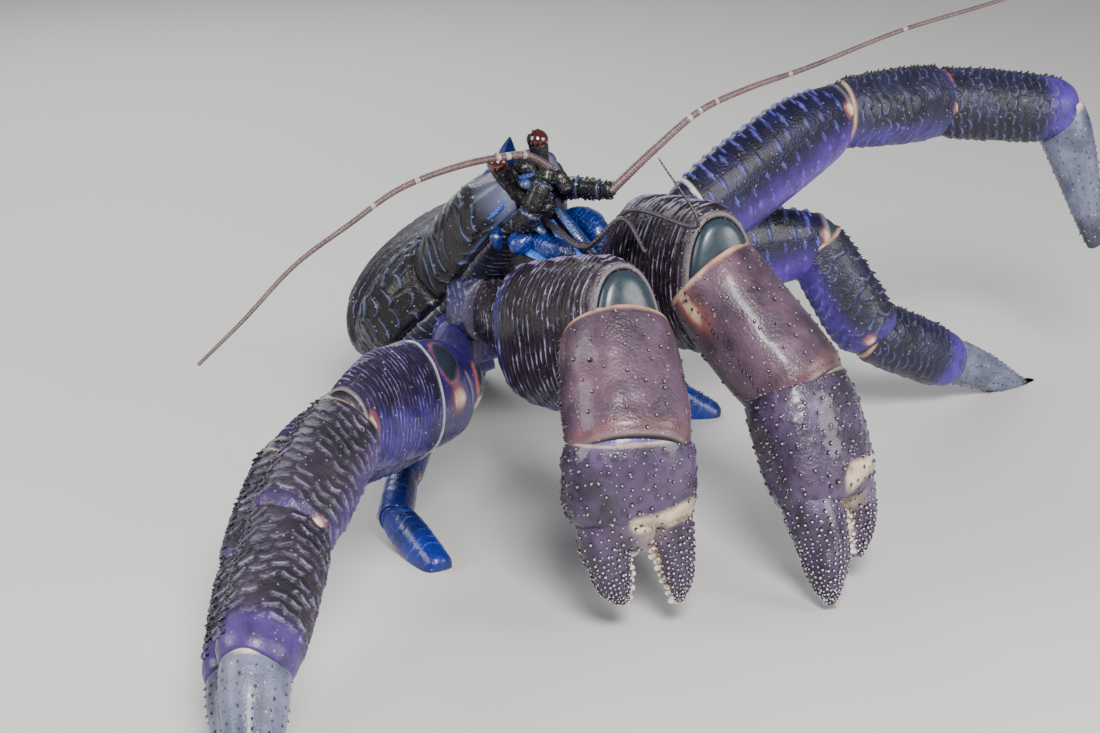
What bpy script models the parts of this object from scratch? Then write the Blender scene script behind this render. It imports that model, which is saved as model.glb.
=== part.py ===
"""A coconut crab, life size, as a still model. It rears on its walking legs, its left claw and
the hind end of its tail, and holds its left front walking leg up.

Lengths are millimetres until they become mesh points, which are metres. +X is to the right of a
viewer who faces the crab, -Y is towards that viewer, +Z is up, and the floor is Z = 0.
"""

import math

import bmesh
import bpy
import numpy as np
from mathutils import Vector

MM = 0.001
GAP = 0.35
SIDES = 12
SPINE_ROOT = 1.4
STAND_AT = np.array((63.0, -18.5, 0.0))

# The thorax centre, and how the body turns, leans to its right and rears.
THORAX = np.array((-32.5, 72.6, 100.0))
YAW = 37.0
LEAN = 19.0
REAR_UP = 42.0

SHELL = (0.09, 0.05, 0.11)
SOFT = (0.20, 0.12, 0.12)
LEG = (0.16, 0.09, 0.28)
CLAW = (0.27, 0.17, 0.25)
BLUE = (0.03, 0.08, 0.42)
FEELER = (0.24, 0.13, 0.11)
EYE = (0.25, 0.02, 0.02)

# Cross-sections along a segment: share of its length, and the shares of its half width, of its
# height above the middle line and of its height below it.
MERUS = ((0, .42, .30, .28), (.05, .74, .42, .38), (.14, .92, .49, .44), (.38, 1, .54, .48),
         (.64, .98, .53, .48), (.88, .94, .41, .46), (1, .80, .30, .38))
CLAW_MERUS = ((0, .42, .30, .28), (.05, .74, .42, .38), (.14, .92, .49, .44), (.38, 1, .52, .48),
              (.64, .98, .54, .48), (.88, .96, .54, .46), (1, .80, .50, .36))
CLAW_CARPUS = ((0, .42, .36, .24), (.06, .70, .50, .36), (.15, .86, .56, .42), (.38, .96, .54, .47),
               (.72, 1, .52, .50), (.93, .96, .50, .46), (1, .84, .44, .36))
CARPUS = ((0, .34, .26, .24), (.06, .62, .38, .36), (.18, .80, .46, .42), (.42, .94, .50, .47),
          (.72, 1, .52, .50), (.93, .96, .50, .46), (1, .84, .44, .36))
PROPODUS = ((0, .36, .26, .24), (.06, .66, .40, .38), (.18, .88, .48, .46), (.45, 1, .51, .49),
            (.75, .98, .48, .48), (.94, .94, .45, .44), (1, .80, .38, .34))
ISCHIUM = ((0, .30, .22, .20), (.08, .48, .32, .30), (.25, .60, .38, .36), (.5, .78, .44, .42),
           (.78, .97, .50, .48), (.93, 1, .50, .46), (1, .86, .44, .36))
DACTYLUS = ((0, .40, .28, .26), (.07, .80, .46, .44), (.2, 1, .52, .48), (.45, .84, .44, .42),
            (.7, .62, .32, .32), (.88, .42, .22, .22), (1, .26, .13, .13))
PALM = ((0, .34, .26, .24), (.06, .64, .40, .38), (.2, .86, .50, .46), (.45, 1, .53, .49),
        (.75, 1, .50, .48), (.93, .92, .42, .42), (1, .78, .32, .32))


def direction(heading, rise):
    """Unit vector at a heading in degrees from +X and a rise above the floor."""
    h, r = math.radians(heading), math.radians(rise)
    return np.array((math.cos(h) * math.cos(r), math.sin(h) * math.cos(r), math.sin(r)))


def unit(v):
    v = np.asarray(v, float)
    return v / np.linalg.norm(v)


def turn(x_axis, roll):
    """Side and upper axes of a piece that points along x_axis and is rolled about it."""
    side = unit(np.cross((0, 0, 1), x_axis))
    upper = np.cross(x_axis, side)
    r = math.radians(roll)
    top = math.cos(r) * upper + math.sin(r) * side
    return np.cross(top, x_axis), top


def body_axes():
    """Forward, left and up of the turned, leaning and rearing body."""
    left = direction(YAW, LEAN)
    level = unit(np.cross(left, (0, 0, 1)))
    steep = np.cross(level, left)
    p = math.radians(REAR_UP)
    forward = math.cos(p) * level + math.sin(p) * steep
    return forward, left, np.cross(forward, left)


FORWARD, LEFT, UP = body_axes()


def on_body(x, y, z):
    """A point x ahead of the thorax centre, y to the crab's left and z towards its back."""
    return THORAX + x * FORWARD + y * LEFT + z * UP


def material(name, colour, roughness=0.4):
    """A shell finish of one colour."""
    mat = bpy.data.materials.new(name)
    mat.use_nodes = True
    shader = mat.node_tree.nodes["Principled BSDF"]
    shader.inputs["Base Color"].default_value = (*colour, 1)
    shader.inputs["Roughness"].default_value = roughness
    shader.inputs["Metallic"].default_value = 0
    return mat


def mesh_object(name, points, faces, colour):
    """A closed object from points in millimetres, its faces split into triangles."""
    mesh = bpy.data.meshes.new(name)
    mesh.from_pydata([Vector((p - STAND_AT) * MM) for p in points], [], faces)
    work = bmesh.new()
    work.from_mesh(mesh)
    bmesh.ops.triangulate(work, faces=work.faces)
    bmesh.ops.recalc_face_normals(work, faces=work.faces)
    work.to_mesh(mesh)
    work.free()
    obj = bpy.data.objects.new(name, mesh)
    bpy.context.collection.objects.link(obj)
    mesh.materials.append(material(name, colour))
    return obj


def ring(centre, side, top, sizes, sides=SIDES, square=1.0):
    """One cross-section: an oval whose halves above and below its middle line may differ."""
    half_width, above, below = sizes
    points = []
    for k in range(sides):
        t = 2 * math.pi * k / sides + math.pi / 2
        c, s = math.cos(t), math.sin(t)
        y = half_width * math.copysign(abs(c) ** square, c)
        z = (above if s > 0 else below) * math.copysign(abs(s) ** square, s)
        points.append(centre + y * side + z * top)
    return points


def skin(name, rings, colour):
    """Join rings of like count into one closed tube with flat ends."""
    sides = len(rings[0])
    points = [p for one in rings for p in one]
    faces = [tuple(range(sides)), tuple(len(points) - 1 - k for k in range(sides))]
    for r in range(len(rings) - 1):
        for k in range(sides):
            a, b = r * sides + k, r * sides + (k + 1) % sides
            faces.append((a, a + sides, b + sides, b))
    return mesh_object(name, points, faces, colour)


class Segment:
    """One limb segment: its joint, its own axes and its sizes."""

    def __init__(self, name, start, length, heading, rise, roll, half_width, height):
        self.name, self.start, self.length = name, start, length
        self.x = direction(heading, rise)
        self.y, self.z = turn(self.x, roll)
        self.half_width, self.height = half_width, height

    def at(self, x, y=0.0, z=0.0):
        """A point x along the segment, y to its side and z above its middle line."""
        return self.start + x * self.x + y * self.y + z * self.z

    def end(self):
        return self.at(self.length)


def ridged(shape, count, height, first=0.2, last=0.86):
    """The same sections with raised cross ridges, each steep on the side towards the tip."""
    spots = np.linspace(first, last, count)
    stations = [(t, 1.0) for t, *_ in shape if t < first - 0.03 or t > last + 0.03]
    for t in spots:
        stations += [(t, 1.0 + height), (t + 0.3 * (last - first) / count, 1.0)]
    rows = np.array(shape)
    return [(t, *(grow * np.interp(t, rows[:, 0], rows[:, k]) for k in (1, 2, 3)))
            for t, grow in sorted(stations)]


class Skin:
    """The outer surface of a segment: sections spread from its round root to its lip."""

    def __init__(self, seg, shape, root=0.28, lip=0.16, hook=0.0):
        self.seg, self.rows, self.hook = seg, np.array(shape), hook
        self.first = -root * seg.height
        self.last = seg.length + lip * seg.height

    def section(self, t):
        """Centre and sizes of the section at a share t of the way along."""
        seg = self.seg
        centre = seg.at(self.first + t * (self.last - self.first), 0, -self.hook * seg.length * t * t)
        width, above, below = (np.interp(t, self.rows[:, 0], self.rows[:, k]) for k in (1, 2, 3))
        return centre, (width * seg.half_width, above * seg.height, below * seg.height)

    def mesh(self, colour, square=0.9):
        rings = []
        for t in self.rows[:, 0]:
            centre, sizes = self.section(t)
            rings.append(ring(centre, self.seg.y, self.seg.z, sizes, square=square))
        return skin(self.seg.name, rings, colour)

    def spot(self, t, angle):
        """A surface point and the way out of it; 90 degrees is the top, 0 the left side."""
        centre, (width, above, below) = self.section(t)
        c, s = math.cos(math.radians(angle)), math.sin(math.radians(angle))
        tall = above if s > 0 else below
        out = unit(c / width * self.seg.y + s / tall * self.seg.z)
        return centre + 0.96 * (width * c * self.seg.y + tall * s * self.seg.z), out


def spine(point, out, lean, radius, height, blunt=0.0, sides=4):
    """A pointed spine or, when blunt, a low knob, its root sunk below the surface."""
    axis = unit(out + lean)
    side = unit(np.cross(axis, (0.31, 0.52, 0.8)))
    other = np.cross(axis, side)
    base, tip = point - SPINE_ROOT * axis, point + height * axis
    around = [math.cos(a) * side + math.sin(a) * other
              for a in np.arange(sides) * 2 * math.pi / sides]
    foot = [base + radius * way for way in around]
    if blunt:
        return skin("spine", [foot, [tip + blunt * radius * way for way in around]], SHELL)
    faces = [tuple(range(sides))] + [((k + 1) % sides, k, sides) for k in range(sides)]
    return mesh_object("spine", foot + [tip], faces, SHELL)


def tube(name, path, sizes, colour, top_hint, sides=8, square=1.0):
    """A tube along a path, each point with its own half width and heights."""
    path = [np.asarray(p, float) for p in path]
    rings = []
    for k, p in enumerate(path):
        along = unit(path[min(k + 1, len(path) - 1)] - path[max(k - 1, 0)])
        side = unit(np.cross(top_hint, along))
        rings.append(ring(p, side, np.cross(along, side), sizes[k], sides, square))
    return skin(name, rings, colour)


def grown(obj, by=GAP):
    """A copy of a closed object, larger by the same amount all over, to cut with."""
    copy = obj.copy()
    copy.data = obj.data.copy()
    bpy.context.collection.objects.link(copy)
    work = bmesh.new()
    work.from_mesh(copy.data)
    work.normal_update()
    moves = [(v, v.normal * by * MM * min(v.calc_shell_factor(), 2.0)) for v in work.verts]
    for v, move in moves:
        v.co += move
    work.to_mesh(copy.data)
    work.free()
    return copy


def apply_boolean(obj, operation, operands):
    """Run one Boolean on obj with a list of closed objects, which are then removed."""
    group = bpy.data.collections.new("operands")
    bpy.context.scene.collection.children.link(group)
    for piece in operands:
        group.objects.link(piece)
    step = obj.modifiers.new("join", "BOOLEAN")
    step.operation = operation
    step.operand_type = "COLLECTION"
    step.collection = group
    step.solver = "EXACT"
    shape = obj.evaluated_get(bpy.context.evaluated_depsgraph_get())
    old, obj.data = obj.data, bpy.data.meshes.new_from_object(shape)
    obj.modifiers.clear()
    bpy.data.meshes.remove(old)
    for piece in operands:
        bpy.data.objects.remove(piece)
    bpy.data.collections.remove(group)
    keep_largest(obj)


def is_closed(work):
    return all(len(edge.link_faces) == 2 for edge in work.edges)


def tidy_faces(obj):
    """Merge faces that lie in one plane, and split the rest into triangles again."""
    work = bmesh.new()
    work.from_mesh(obj.data)
    bmesh.ops.dissolve_limit(work, angle_limit=math.radians(0.4), verts=work.verts,
                             edges=work.edges)
    bmesh.ops.triangulate(work, faces=work.faces)
    if is_closed(work):
        work.to_mesh(obj.data)
    work.free()


def keep_largest(obj):
    """Keep the largest closed surface of an object, and split its faces into triangles."""
    work = bmesh.new()
    work.from_mesh(obj.data)
    bmesh.ops.triangulate(work, faces=work.faces)
    left, shells = set(work.faces), []
    while left:
        shell, border = set(), [left.pop()]
        while border:
            face = border.pop()
            shell.add(face)
            near = {f for edge in face.edges for f in edge.link_faces} & left
            left -= near
            border.extend(near)
        shells.append(shell)
    shells.sort(key=len)
    small = [face for shell in shells[:-1] for face in shell]
    bmesh.ops.delete(work, geom=small, context="FACES")
    work.to_mesh(obj.data)
    work.free()
    tidy_faces(obj)


def fuse(obj, pieces):
    """Join closed pieces to an object, so that it stays one closed body."""
    if pieces:
        apply_boolean(obj, "UNION", pieces)


def make_room(obj, *neighbours):
    """Cut an object clear of its neighbours by the gap that touching pieces keep."""
    apply_boolean(obj, "DIFFERENCE", [grown(other) for other in neighbours])


def slice_off(obj, point, normal):
    """Keep what lies behind a plane, and close the cut with a flat face."""
    place = Vector((np.asarray(point) - STAND_AT) * MM)
    work = bmesh.new()
    work.from_mesh(obj.data)
    cut = bmesh.ops.bisect_plane(work, geom=work.verts[:] + work.edges[:] + work.faces[:],
                                 plane_co=place, plane_no=Vector(normal), clear_outer=True)
    rim = [e for e in cut["geom_cut"] if isinstance(e, bmesh.types.BMEdge)]
    bmesh.ops.edgeloop_fill(work, edges=rim)
    bmesh.ops.triangulate(work, faces=work.faces)
    bmesh.ops.recalc_face_normals(work, faces=work.faces)
    work.to_mesh(obj.data)
    work.free()


def part_by(obj, name, point, normal):
    """Part an object by a thin plane: obj keeps the near side, and the far side is returned."""
    far = obj.copy()
    far.data = obj.data.copy()
    far.name = far.data.name = name
    bpy.context.collection.objects.link(far)
    half = np.asarray(normal) * GAP / 2
    slice_off(obj, np.asarray(point) - half, normal)
    slice_off(far, np.asarray(point) + half, -np.asarray(normal))
    return far


# Body sections, tail to face: place along the body, half width, height above, depth below.
TRUNK = ((-63, 26, 10, 16), (-58, 38, 16, 24), (-42, 48, 21, 31), (-20, 51, 22, 33),
         (-4, 44, 21, 33), (7, 33, 18, 31), (14, 30, 18, 30), (36, 29, 17, 27),
         (56, 25, 13, 23), (70, 20, 9, 18), (79, 13, 5, 10))
SHELL_EDGE = -12.0
NECK_GROOVE = 8.0
HEART_HALF_WIDTH = 17.0


def body():
    """The carapace as its head shield, two gill covers and heart shield, and the underside."""
    rings = [ring(on_body(x, 0, 0), LEFT, UP, sizes, 24, 0.92) for x, *sizes in TRUNK]
    shell = skin("head_shield", rings, SHELL)
    under = part_by(shell, "thorax_underside", on_body(0, 0, SHELL_EDGE), -UP)
    rear = part_by(shell, "heart_shield", on_body(NECK_GROOVE, 0, 0), -FORWARD)
    left = part_by(rear, "gill_cover_left", on_body(0, HEART_HALF_WIDTH, 0), LEFT)
    right = part_by(rear, "gill_cover_right", on_body(0, -HEART_HALF_WIDTH, 0), -LEFT)
    spike = tube("spike", [on_body(x, 0, z) for x, z in ((58, 8), (71, 8), (80, 10), (88, 12))],
                 [(9, 6, 6), (6, 4, 4), (3.4, 2.6, 2.6), (.6, .5, .5)], BLUE, UP, 6)
    fuse(shell, [spike])
    return shell, rear, left, right, under


TAIL_PATH = ((-50, 118, 74), (-49, 136, 68), (-46, 164, 58), (-43, 188, 45), (-42, 202, 30),
             (-42, 206, 14), (-42, 205, -6))
TAIL_SIZES = ((33, 18, 20), (45, 26, 26), (48, 31, 28), (41, 30, 25), (27, 23, 20),
              (17, 14, 12), (10, 9, 8))


TAIL_PLATES = 5
PLATE_RISE = 1.09


def tail(neighbours):
    """The broad tail with overlapping plates on its back, curled down and under to the floor."""
    path, sizes = np.array(TAIL_PATH, float), np.array(TAIL_SIZES, float)
    spots = [0, 0.4, 5.2, 6]
    lift = {spot: 1.0 for spot in spots}
    for edge in np.linspace(1.1, 4.6, TAIL_PLATES):
        lift[edge], lift[edge + 0.14] = PLATE_RISE, 1.0
    steps = np.arange(len(path))
    points, widths = [], []
    for spot, grow in sorted(lift.items()):
        points.append([np.interp(spot, steps, path[:, k]) for k in range(3)])
        half, above, below = (np.interp(spot, steps, sizes[:, k]) for k in range(3))
        widths.append((half, above * grow, below))
    obj = tube("abdomen", points, widths, SOFT, UP, 18)
    make_room(obj, *neighbours)
    stand(obj)
    return obj


LIMB_SHAPES = {"ischium": ISCHIUM, "merus": MERUS, "carpus": CARPUS, "propodus": PROPODUS,
               "dactylus": DACTYLUS, "palm": PALM}
CLAW_SHAPES = {"merus": CLAW_MERUS, "carpus": CLAW_CARPUS}

# Each limb: where its hip sits on the body, then its segments from the hip out, each with
# length, heading, rise, roll, half width and height.
LIMBS = {
    "leg_1_right": ((3, -32, -30), (
        ("ischium", 54, -92, -2, -8, 11, 31), ("merus", 100, -109, 11, -14, 11, 42),
        ("carpus", 58, -108, -20, -38, 12, 32), ("propodus", 62, -98, -24, -48, 12, 31),
        ("dactylus", 66, -92, -42, -48, 10, 24))),
    "leg_2_right": ((-18, -36, -30), (
        ("ischium", 44, -100, -10, -8, 10, 27), ("merus", 104, -114, 8, -14, 10, 36),
        ("carpus", 54, -101, -26, -38, 10, 29), ("propodus", 56, -92, -18, -48, 10, 27),
        ("dactylus", 58, -89, -26, -48, 8, 20))),
    "leg_1_left": ((4, 30, -30), (
        ("ischium", 56, -10, 25, 0, 11, 29), ("merus", 92, 43, 21, 6, 11, 40),
        ("carpus", 66, 40, -3, 6, 12, 31), ("propodus", 68, 25, -8, 10, 12, 30),
        ("dactylus", 66, -10, -66, 10, 10, 24))),
    "leg_2_left": ((-18, 33, -30), (
        ("ischium", 36, 4, 10, 0, 10, 28), ("merus", 86, 29, 3, 4, 10, 36),
        ("carpus", 50, 2, -58, 10, 10, 29), ("propodus", 58, 38, -25, 10, 10, 27),
        ("dactylus", 66, 40, -20, 10, 8, 20))),
    "leg_3_right": ((-42, -30, -28), (
        ("merus", 60, -101, -23, 0, 8, 22), ("carpus", 28, -95, -18, 0, 7, 18),
        ("claw", 36, -55, -22, 0, 7, 17))),
    "leg_3_left": ((-42, 29, -28), (
        ("merus", 54, 50, -30, 0, 8, 22), ("carpus", 28, 20, -45, 0, 7, 18),
        ("claw", 38, 10, -30, 0, 7, 17))),
    "claw_right": ((26, -23, -28), (
        ("ischium", 44, -60, -1, 0, 13, 36), ("merus", 60, -60, 14, 0, 18, 58),
        ("carpus", 41, -82, -45, 4, 23, 36), ("palm", 26, -84, -80, 10, 25, 33))),
    "claw_left": ((22, 24, -28), (
        ("ischium", 42, -37, 4, 0, 13, 36), ("merus", 54, -67, 8, 0, 18, 58),
        ("carpus", 50, -32, -42, 4, 21, 38), ("palm", 42, -50, -64, 10, 24, 37))),
}
LIMB_COLOURS = {"leg_3_right": BLUE, "leg_3_left": BLUE, "claw_right": CLAW, "claw_left": CLAW}


def hip_block(name, seg):
    """The hip ring of a limb, from inside the underside to round the root of its first piece."""
    x, y, _ = LIMBS[name][0]
    size = (seg.half_width * 0.95, seg.height * 0.41, seg.height * 0.41)
    path = (on_body(x * 0.9, y * 0.35, -32), seg.at(-0.25 * seg.height), seg.at(2))
    block = tube("hip", path, (size, size, [0.9 * w for w in size]), SHELL, seg.z, 8)
    slice_off(block, on_body(0, 0, SHELL_EDGE - 0.6), UP)
    return block


def finger(name, palm, rows):
    """A finger from rows of place beyond the palm's end, place to the side and half sizes."""
    path = [palm.at(palm.length + x, y) for x, y, *_ in rows]
    return tube(name, path, [(wide, high, high) for *_, wide, high in rows], CLAW, palm.z, 10)


def teeth(palm, rows, towards):
    """Blunt teeth along a finger's inner edge, smaller towards its tip."""
    table, found = np.array(rows), []
    for share, radius in ((0.45, 2.4), (0.65, 2.0), (0.82, 1.5)):
        place = table[0, 0] + share * (table[-1, 0] - table[0, 0])
        middle, half = (np.interp(place, table[:, 0], table[:, k]) for k in (1, 2))
        root = palm.at(palm.length + place, middle + towards * (half - 0.8))
        found.append(spine(root, towards * palm.y, 0, radius, radius * 1.1, 0.55))
    return found


def palm_fingers(name, palm, obj):
    """Grow the fixed finger on a palm and add the free one beside it."""
    fixed_rows, free_rows = FINGERS[name]
    inner = 1 if free_rows[-1][1] > fixed_rows[-1][1] else -1
    fuse(obj, [finger("fixed", palm, fixed_rows), *teeth(palm, fixed_rows, inner)])
    free = finger(f"{name}_finger", palm, free_rows)
    fuse(free, teeth(palm, free_rows, -inner))
    make_room(obj, free)
    return free


def stand(obj):
    """Cut what would reach below the floor, which leaves a small flat to stand on."""
    if min(v.co.z for v in obj.data.vertices) < 0:
        slice_off(obj, (0, 0, 0), (0, 0, -1))


# The fixed and the free finger of each claw: place beyond the palm's end, place to its side,
# half width and half height.
FINGERS = {
    "claw_right": (((-8, -4, 17, 14), (4, -5.5, 16, 13), (13, -9.5, 10.5, 10), (20, -8.5, 8, 8),
                    (29, -6, 6, 6), (35, -3, 2, 2)),
                   ((0, 13, 8.5, 9), (7, 15, 9, 10), (14, 16.5, 8, 9), (20, 17.5, 6.8, 8),
                    (28, 18.5, 5.3, 6), (36, 19, 1.8, 1.8))),
    "claw_left": (((-4, 10, 12, 14), (6, 12.5, 10, 12), (14.5, 13.8, 6.8, 9), (22, 11.5, 5, 6),
                   (29, 8, 2, 2)),
                  ((-2, -8.5, 10, 10), (4, -10.5, 11.5, 11), (12, -10.8, 11, 11),
                   (21, -11, 9.3, 10), (34, -14.5, 6.4, 7), (43, -17, 1.8, 1.8))),
}

# Cross ridges raised on a segment: how many, and how high as a share of its thickness.
RIDGES = {"merus": (4, 0.055), "carpus": (2, 0.045), "propodus": (2, 0.04)}
SPINE_RADIUS, SPINE_HEIGHT = 1.7, 3.4
KNOB_RADIUS, KNOB_HEIGHT = 1.9, 1.3


def edge_spines(surface, kind, rng):
    """A comb of spines along the upper edge, and one row down each flank of the outer pieces."""
    rows = {"merus": ((90, 7),), "carpus": ((90, 4), (50, 3), (130, 3)),
            "propodus": ((90, 4), (50, 4), (130, 4))}[kind]
    found = []
    for angle, count in rows:
        for t in np.linspace(0.3, 0.84, count):
            point, out = surface.spot(t + rng.uniform(-0.01, 0.01), angle + rng.uniform(-5, 5))
            size = rng.uniform(0.85, 1.15)
            found.append(spine(point, out, 0.7 * surface.seg.x, SPINE_RADIUS * size,
                               SPINE_HEIGHT * size))
    return found


def knobs(surface, rng):
    """Low knobs in staggered rows over the face of a claw piece."""
    found = []
    for row, t in enumerate(np.linspace(0.36, 0.8, 3)):
        for step in range(4):
            angle = 36 + 34 * step + 17 * (row % 2) + rng.uniform(-5, 5)
            point, out = surface.spot(t + rng.uniform(-0.02, 0.02), angle)
            size = rng.uniform(0.8, 1.2)
            found.append(spine(point, out, 0.3 * surface.seg.x, KNOB_RADIUS * size,
                               KNOB_HEIGHT * size, 0.5))
    return found


def limb_piece(name, seg, kind, rng):
    """One segment with its cross ridges, spines or knobs, before its socket is cut."""
    is_claw, is_leg = name.startswith("claw"), name[:5] in ("leg_1", "leg_2")
    shape = LIMB_SHAPES.get(kind, PROPODUS)
    if is_claw:
        shape = CLAW_SHAPES.get(kind, shape)
    if kind in RIDGES and (is_leg or kind == "merus" and is_claw):
        shape = ridged(shape, *RIDGES[kind])
    last = kind == "dactylus"
    surface = Skin(seg, shape, lip=0 if last else 0.16, hook=0.10 if last else 0.0)
    obj = surface.mesh(LIMB_COLOURS.get(name, LEG))
    if is_leg and kind in RIDGES:
        fuse(obj, edge_spines(surface, kind, rng))
    if is_claw and kind in ("carpus", "palm"):
        fuse(obj, knobs(surface, rng))
    return obj


def limb(name):
    """Build a limb from hip to tip, each joint as a round root in the socket before it."""
    hip, rows = LIMBS[name]
    rng = np.random.default_rng(sum(map(ord, name)))
    start, segs, pieces = on_body(*hip), [], []
    for kind, *sizes in rows:
        seg = Segment(f"{name}_{kind}", start, *sizes)
        segs.append(seg)
        pieces.append(limb_piece(name, seg, kind, rng))
        start = seg.end()
    for near, far in zip(pieces, pieces[1:]):
        make_room(near, far)
    if name in FINGERS:
        pieces.append(palm_fingers(name, segs[-1], pieces[-1]))
    for obj in pieces:
        stand(obj)
    return pieces[0], hip_block(name, segs[0])


EYE_ROOT = (75, 7, -8)
EYE_END = (85, 10, 5)


def eye(side, sign):
    """A short stalk out of the face under the spike, with its cornea on the end."""
    root = on_body(EYE_ROOT[0], sign * EYE_ROOT[1], EYE_ROOT[2])
    end = on_body(EYE_END[0], sign * EYE_END[1], EYE_END[2])
    mid = (root + end) / 2
    stalk = tube(f"eyestalk_{side}", (root - 0.2 * (end - root), root, mid, end),
                 ((3, 3, 3), (3.6, 3.6, 3.6), (3.2, 3.2, 3.2), (3.9, 3.9, 3.9)), SHELL, LEFT, 10)
    along = unit(end - root)
    path = [end + along * t for t in (-1.5, 0.5, 3, 5, 6.2)]
    ball = tube(f"eye_{side}", path, [(r, r, r) for r in (2.6, 4.3, 4.4, 3.2, 1.2)], EYE, LEFT, 12)
    make_room(stalk, ball)
    return stalk


def feeler(name, path, radii, colour, sides=6):
    return tube(name, path, [(r, r, r) for r in radii], colour, (0.1, 0.2, 1), sides)


PEDUNCLES = {"left": ((70, 13, -13), (78, 15, -16), (84, 18, -22), (89, 21, -27)),
             "right": ((72, -13, -15), (84, -13, -18), (92, -7, -14), (96, 0, -9))}
WHIPS = {"left": ((24, 9, 144), (42, 19, 159), (60, 29, 172), (80, 39, 179), (101, 49, 184),
                  (144, 71, 196), (187, 90, 205), (213, 104, 211)),
         "right": ((0, -1, 156), (-9, -6, 162), (-19, -13, 163), (-38, -27, 162),
                   (-57, -39, 157), (-75, -53, 147), (-93, -65, 136), (-114, -83, 117),
                   (-128, -93, 105))}


def antenna(side):
    """A spiny jointed base, and the long thin whip that it carries."""
    path = [on_body(*p) for p in PEDUNCLES[side]]
    base = feeler(f"antenna_base_{side}", path, (4, 5, 4.6, 3.8), SHELL, 8)
    points = WHIPS[side]
    radii = [2.1 - 1.5 * k / (len(points) - 1) for k in range(len(points))]
    whip = feeler(f"antenna_whip_{side}", points, radii, FEELER)
    make_room(base, whip)
    return base


ANTENNULES = {"left": ((3, 17, 138), (4, 12, 136), (10, 0, 131), (18, -12, 123), (29, -20, 143),
                       (56, -42, 144), (41, -35, 168)),
              "right": ((-5, 12, 136), (-3, 8, 134), (2, -10, 134), (14, -27, 131),
                        (28, -34, 144), (36, -45, 134))}
MAXILLIPED = ((66, 10, -23), (76, 10, -29), (82, 9, -37), (81, 5, -45))


def mouth_limbs(side, sign):
    """One folded antennule and one third maxilliped."""
    points = ANTENNULES[side]
    radii = (2.0, 2.2, 2.2, 2.0, 1.8, 1.2, 0.5)[:len(points)]
    lip = feeler(f"antennule_{side}", points, radii, FEELER)
    path = [on_body(x, sign * y, z) for x, y, z in MAXILLIPED]
    jaw = tube(f"maxilliped_{side}", path, ((4, 4, 4), (5, 5, 5), (4.5, 4.5, 4.5), (2.5, 2.5, 2.5)),
               BLUE, UP, 8)
    return lip, jaw


def main():
    for obj in list(bpy.data.objects):
        bpy.data.objects.remove(obj)
    shell, rear, left, right, under = body()
    tail((rear, left, right, under))
    roots, hips = zip(*(limb(name) for name in LIMBS))
    face = [eye("left", 1), eye("right", -1), antenna("left"), antenna("right")]
    mouth = [obj for side, sign in (("left", 1), ("right", -1)) for obj in mouth_limbs(side, sign)]
    fuse(under, list(hips))
    make_room(under, *roots, *face, *mouth)
    make_room(shell, *face, *mouth)


main()
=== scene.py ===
"""A life-size still model of a coconut crab, dressed over its packed solids.

Every shell piece is a smooth lofted surface with its own ridges, scales, knobs and spines, and
stands for the solid of the same name. Lengths in the tables are millimetres; mesh points are metres.
"""

import math

import bmesh
import bpy
import numpy as np
from bpy.props import FloatProperty, FloatVectorProperty, PointerProperty
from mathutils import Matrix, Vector


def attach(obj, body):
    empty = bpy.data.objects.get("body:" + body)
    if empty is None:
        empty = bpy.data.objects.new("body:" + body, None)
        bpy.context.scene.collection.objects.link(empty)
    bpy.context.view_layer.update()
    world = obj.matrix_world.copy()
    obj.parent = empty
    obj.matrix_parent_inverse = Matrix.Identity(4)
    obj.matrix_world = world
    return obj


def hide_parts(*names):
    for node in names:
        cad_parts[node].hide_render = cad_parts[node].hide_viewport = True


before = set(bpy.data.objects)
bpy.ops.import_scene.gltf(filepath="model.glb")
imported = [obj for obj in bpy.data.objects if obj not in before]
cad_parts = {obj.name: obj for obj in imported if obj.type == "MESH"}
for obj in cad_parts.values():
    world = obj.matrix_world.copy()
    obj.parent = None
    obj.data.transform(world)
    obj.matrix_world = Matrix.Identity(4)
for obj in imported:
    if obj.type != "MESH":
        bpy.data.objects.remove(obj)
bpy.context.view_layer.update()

bl_info = {
    "name": "Coconut crab",
    "version": (1, 0, 0),
    "blender": (4, 5, 0),
    "location": "View3D > Sidebar > Crab",
    "description": "Builds the dressed shell pieces of a life-size coconut crab and its plain stage",
    "category": "Add Mesh",
}

MM = 0.001
STAND_AT = np.array((63.0, -18.5, 0.0))
THORAX = np.array((-32.5, 72.6, 100.0))
YAW, LEAN, REAR_UP = 37.0, 19.0, 42.0
BODY = "root"

# Masks that the finishes read, one value a point. "row" counts the rows of ridges or scales, and
# "dash" says how strong the pale line is that the finish draws near the end of each row.
# The inside mask is painted shade in the joint openings and gaps, and the own dark tip of each foot.
# The tip mask is mostly a painted highlight, the pale glint on the tops of knobs, spines and granules.
MASKS = ("crest", "dash", "row", "dome", "rim", "cream", "blush", "knob", "tip", "inside", "tint",
         "smooth")

# Cross-sections along a segment: share of its length, and the shares of its half width, of its
# height above the middle line and of its height below it.
MERUS = ((0, .42, .30, .28), (.05, .74, .42, .38), (.14, .92, .49, .44), (.38, 1, .54, .48),
         (.64, .98, .53, .48), (.88, .94, .41, .46), (1, .80, .30, .38))
CLAW_MERUS = ((0, .42, .30, .28), (.05, .74, .42, .38), (.14, .92, .49, .44), (.38, 1, .52, .48),
              (.64, .98, .54, .48), (.88, .96, .54, .46), (1, .80, .50, .36))
CLAW_CARPUS = ((0, .42, .36, .24), (.06, .70, .50, .36), (.15, .86, .56, .42), (.38, .96, .54, .47),
               (.72, 1, .52, .50), (.93, .96, .50, .46), (1, .84, .44, .36))
CARPUS = ((0, .34, .26, .24), (.06, .62, .38, .36), (.18, .80, .46, .42), (.42, .94, .50, .47),
          (.72, 1, .52, .50), (.93, .96, .50, .46), (1, .84, .44, .36))
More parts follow.
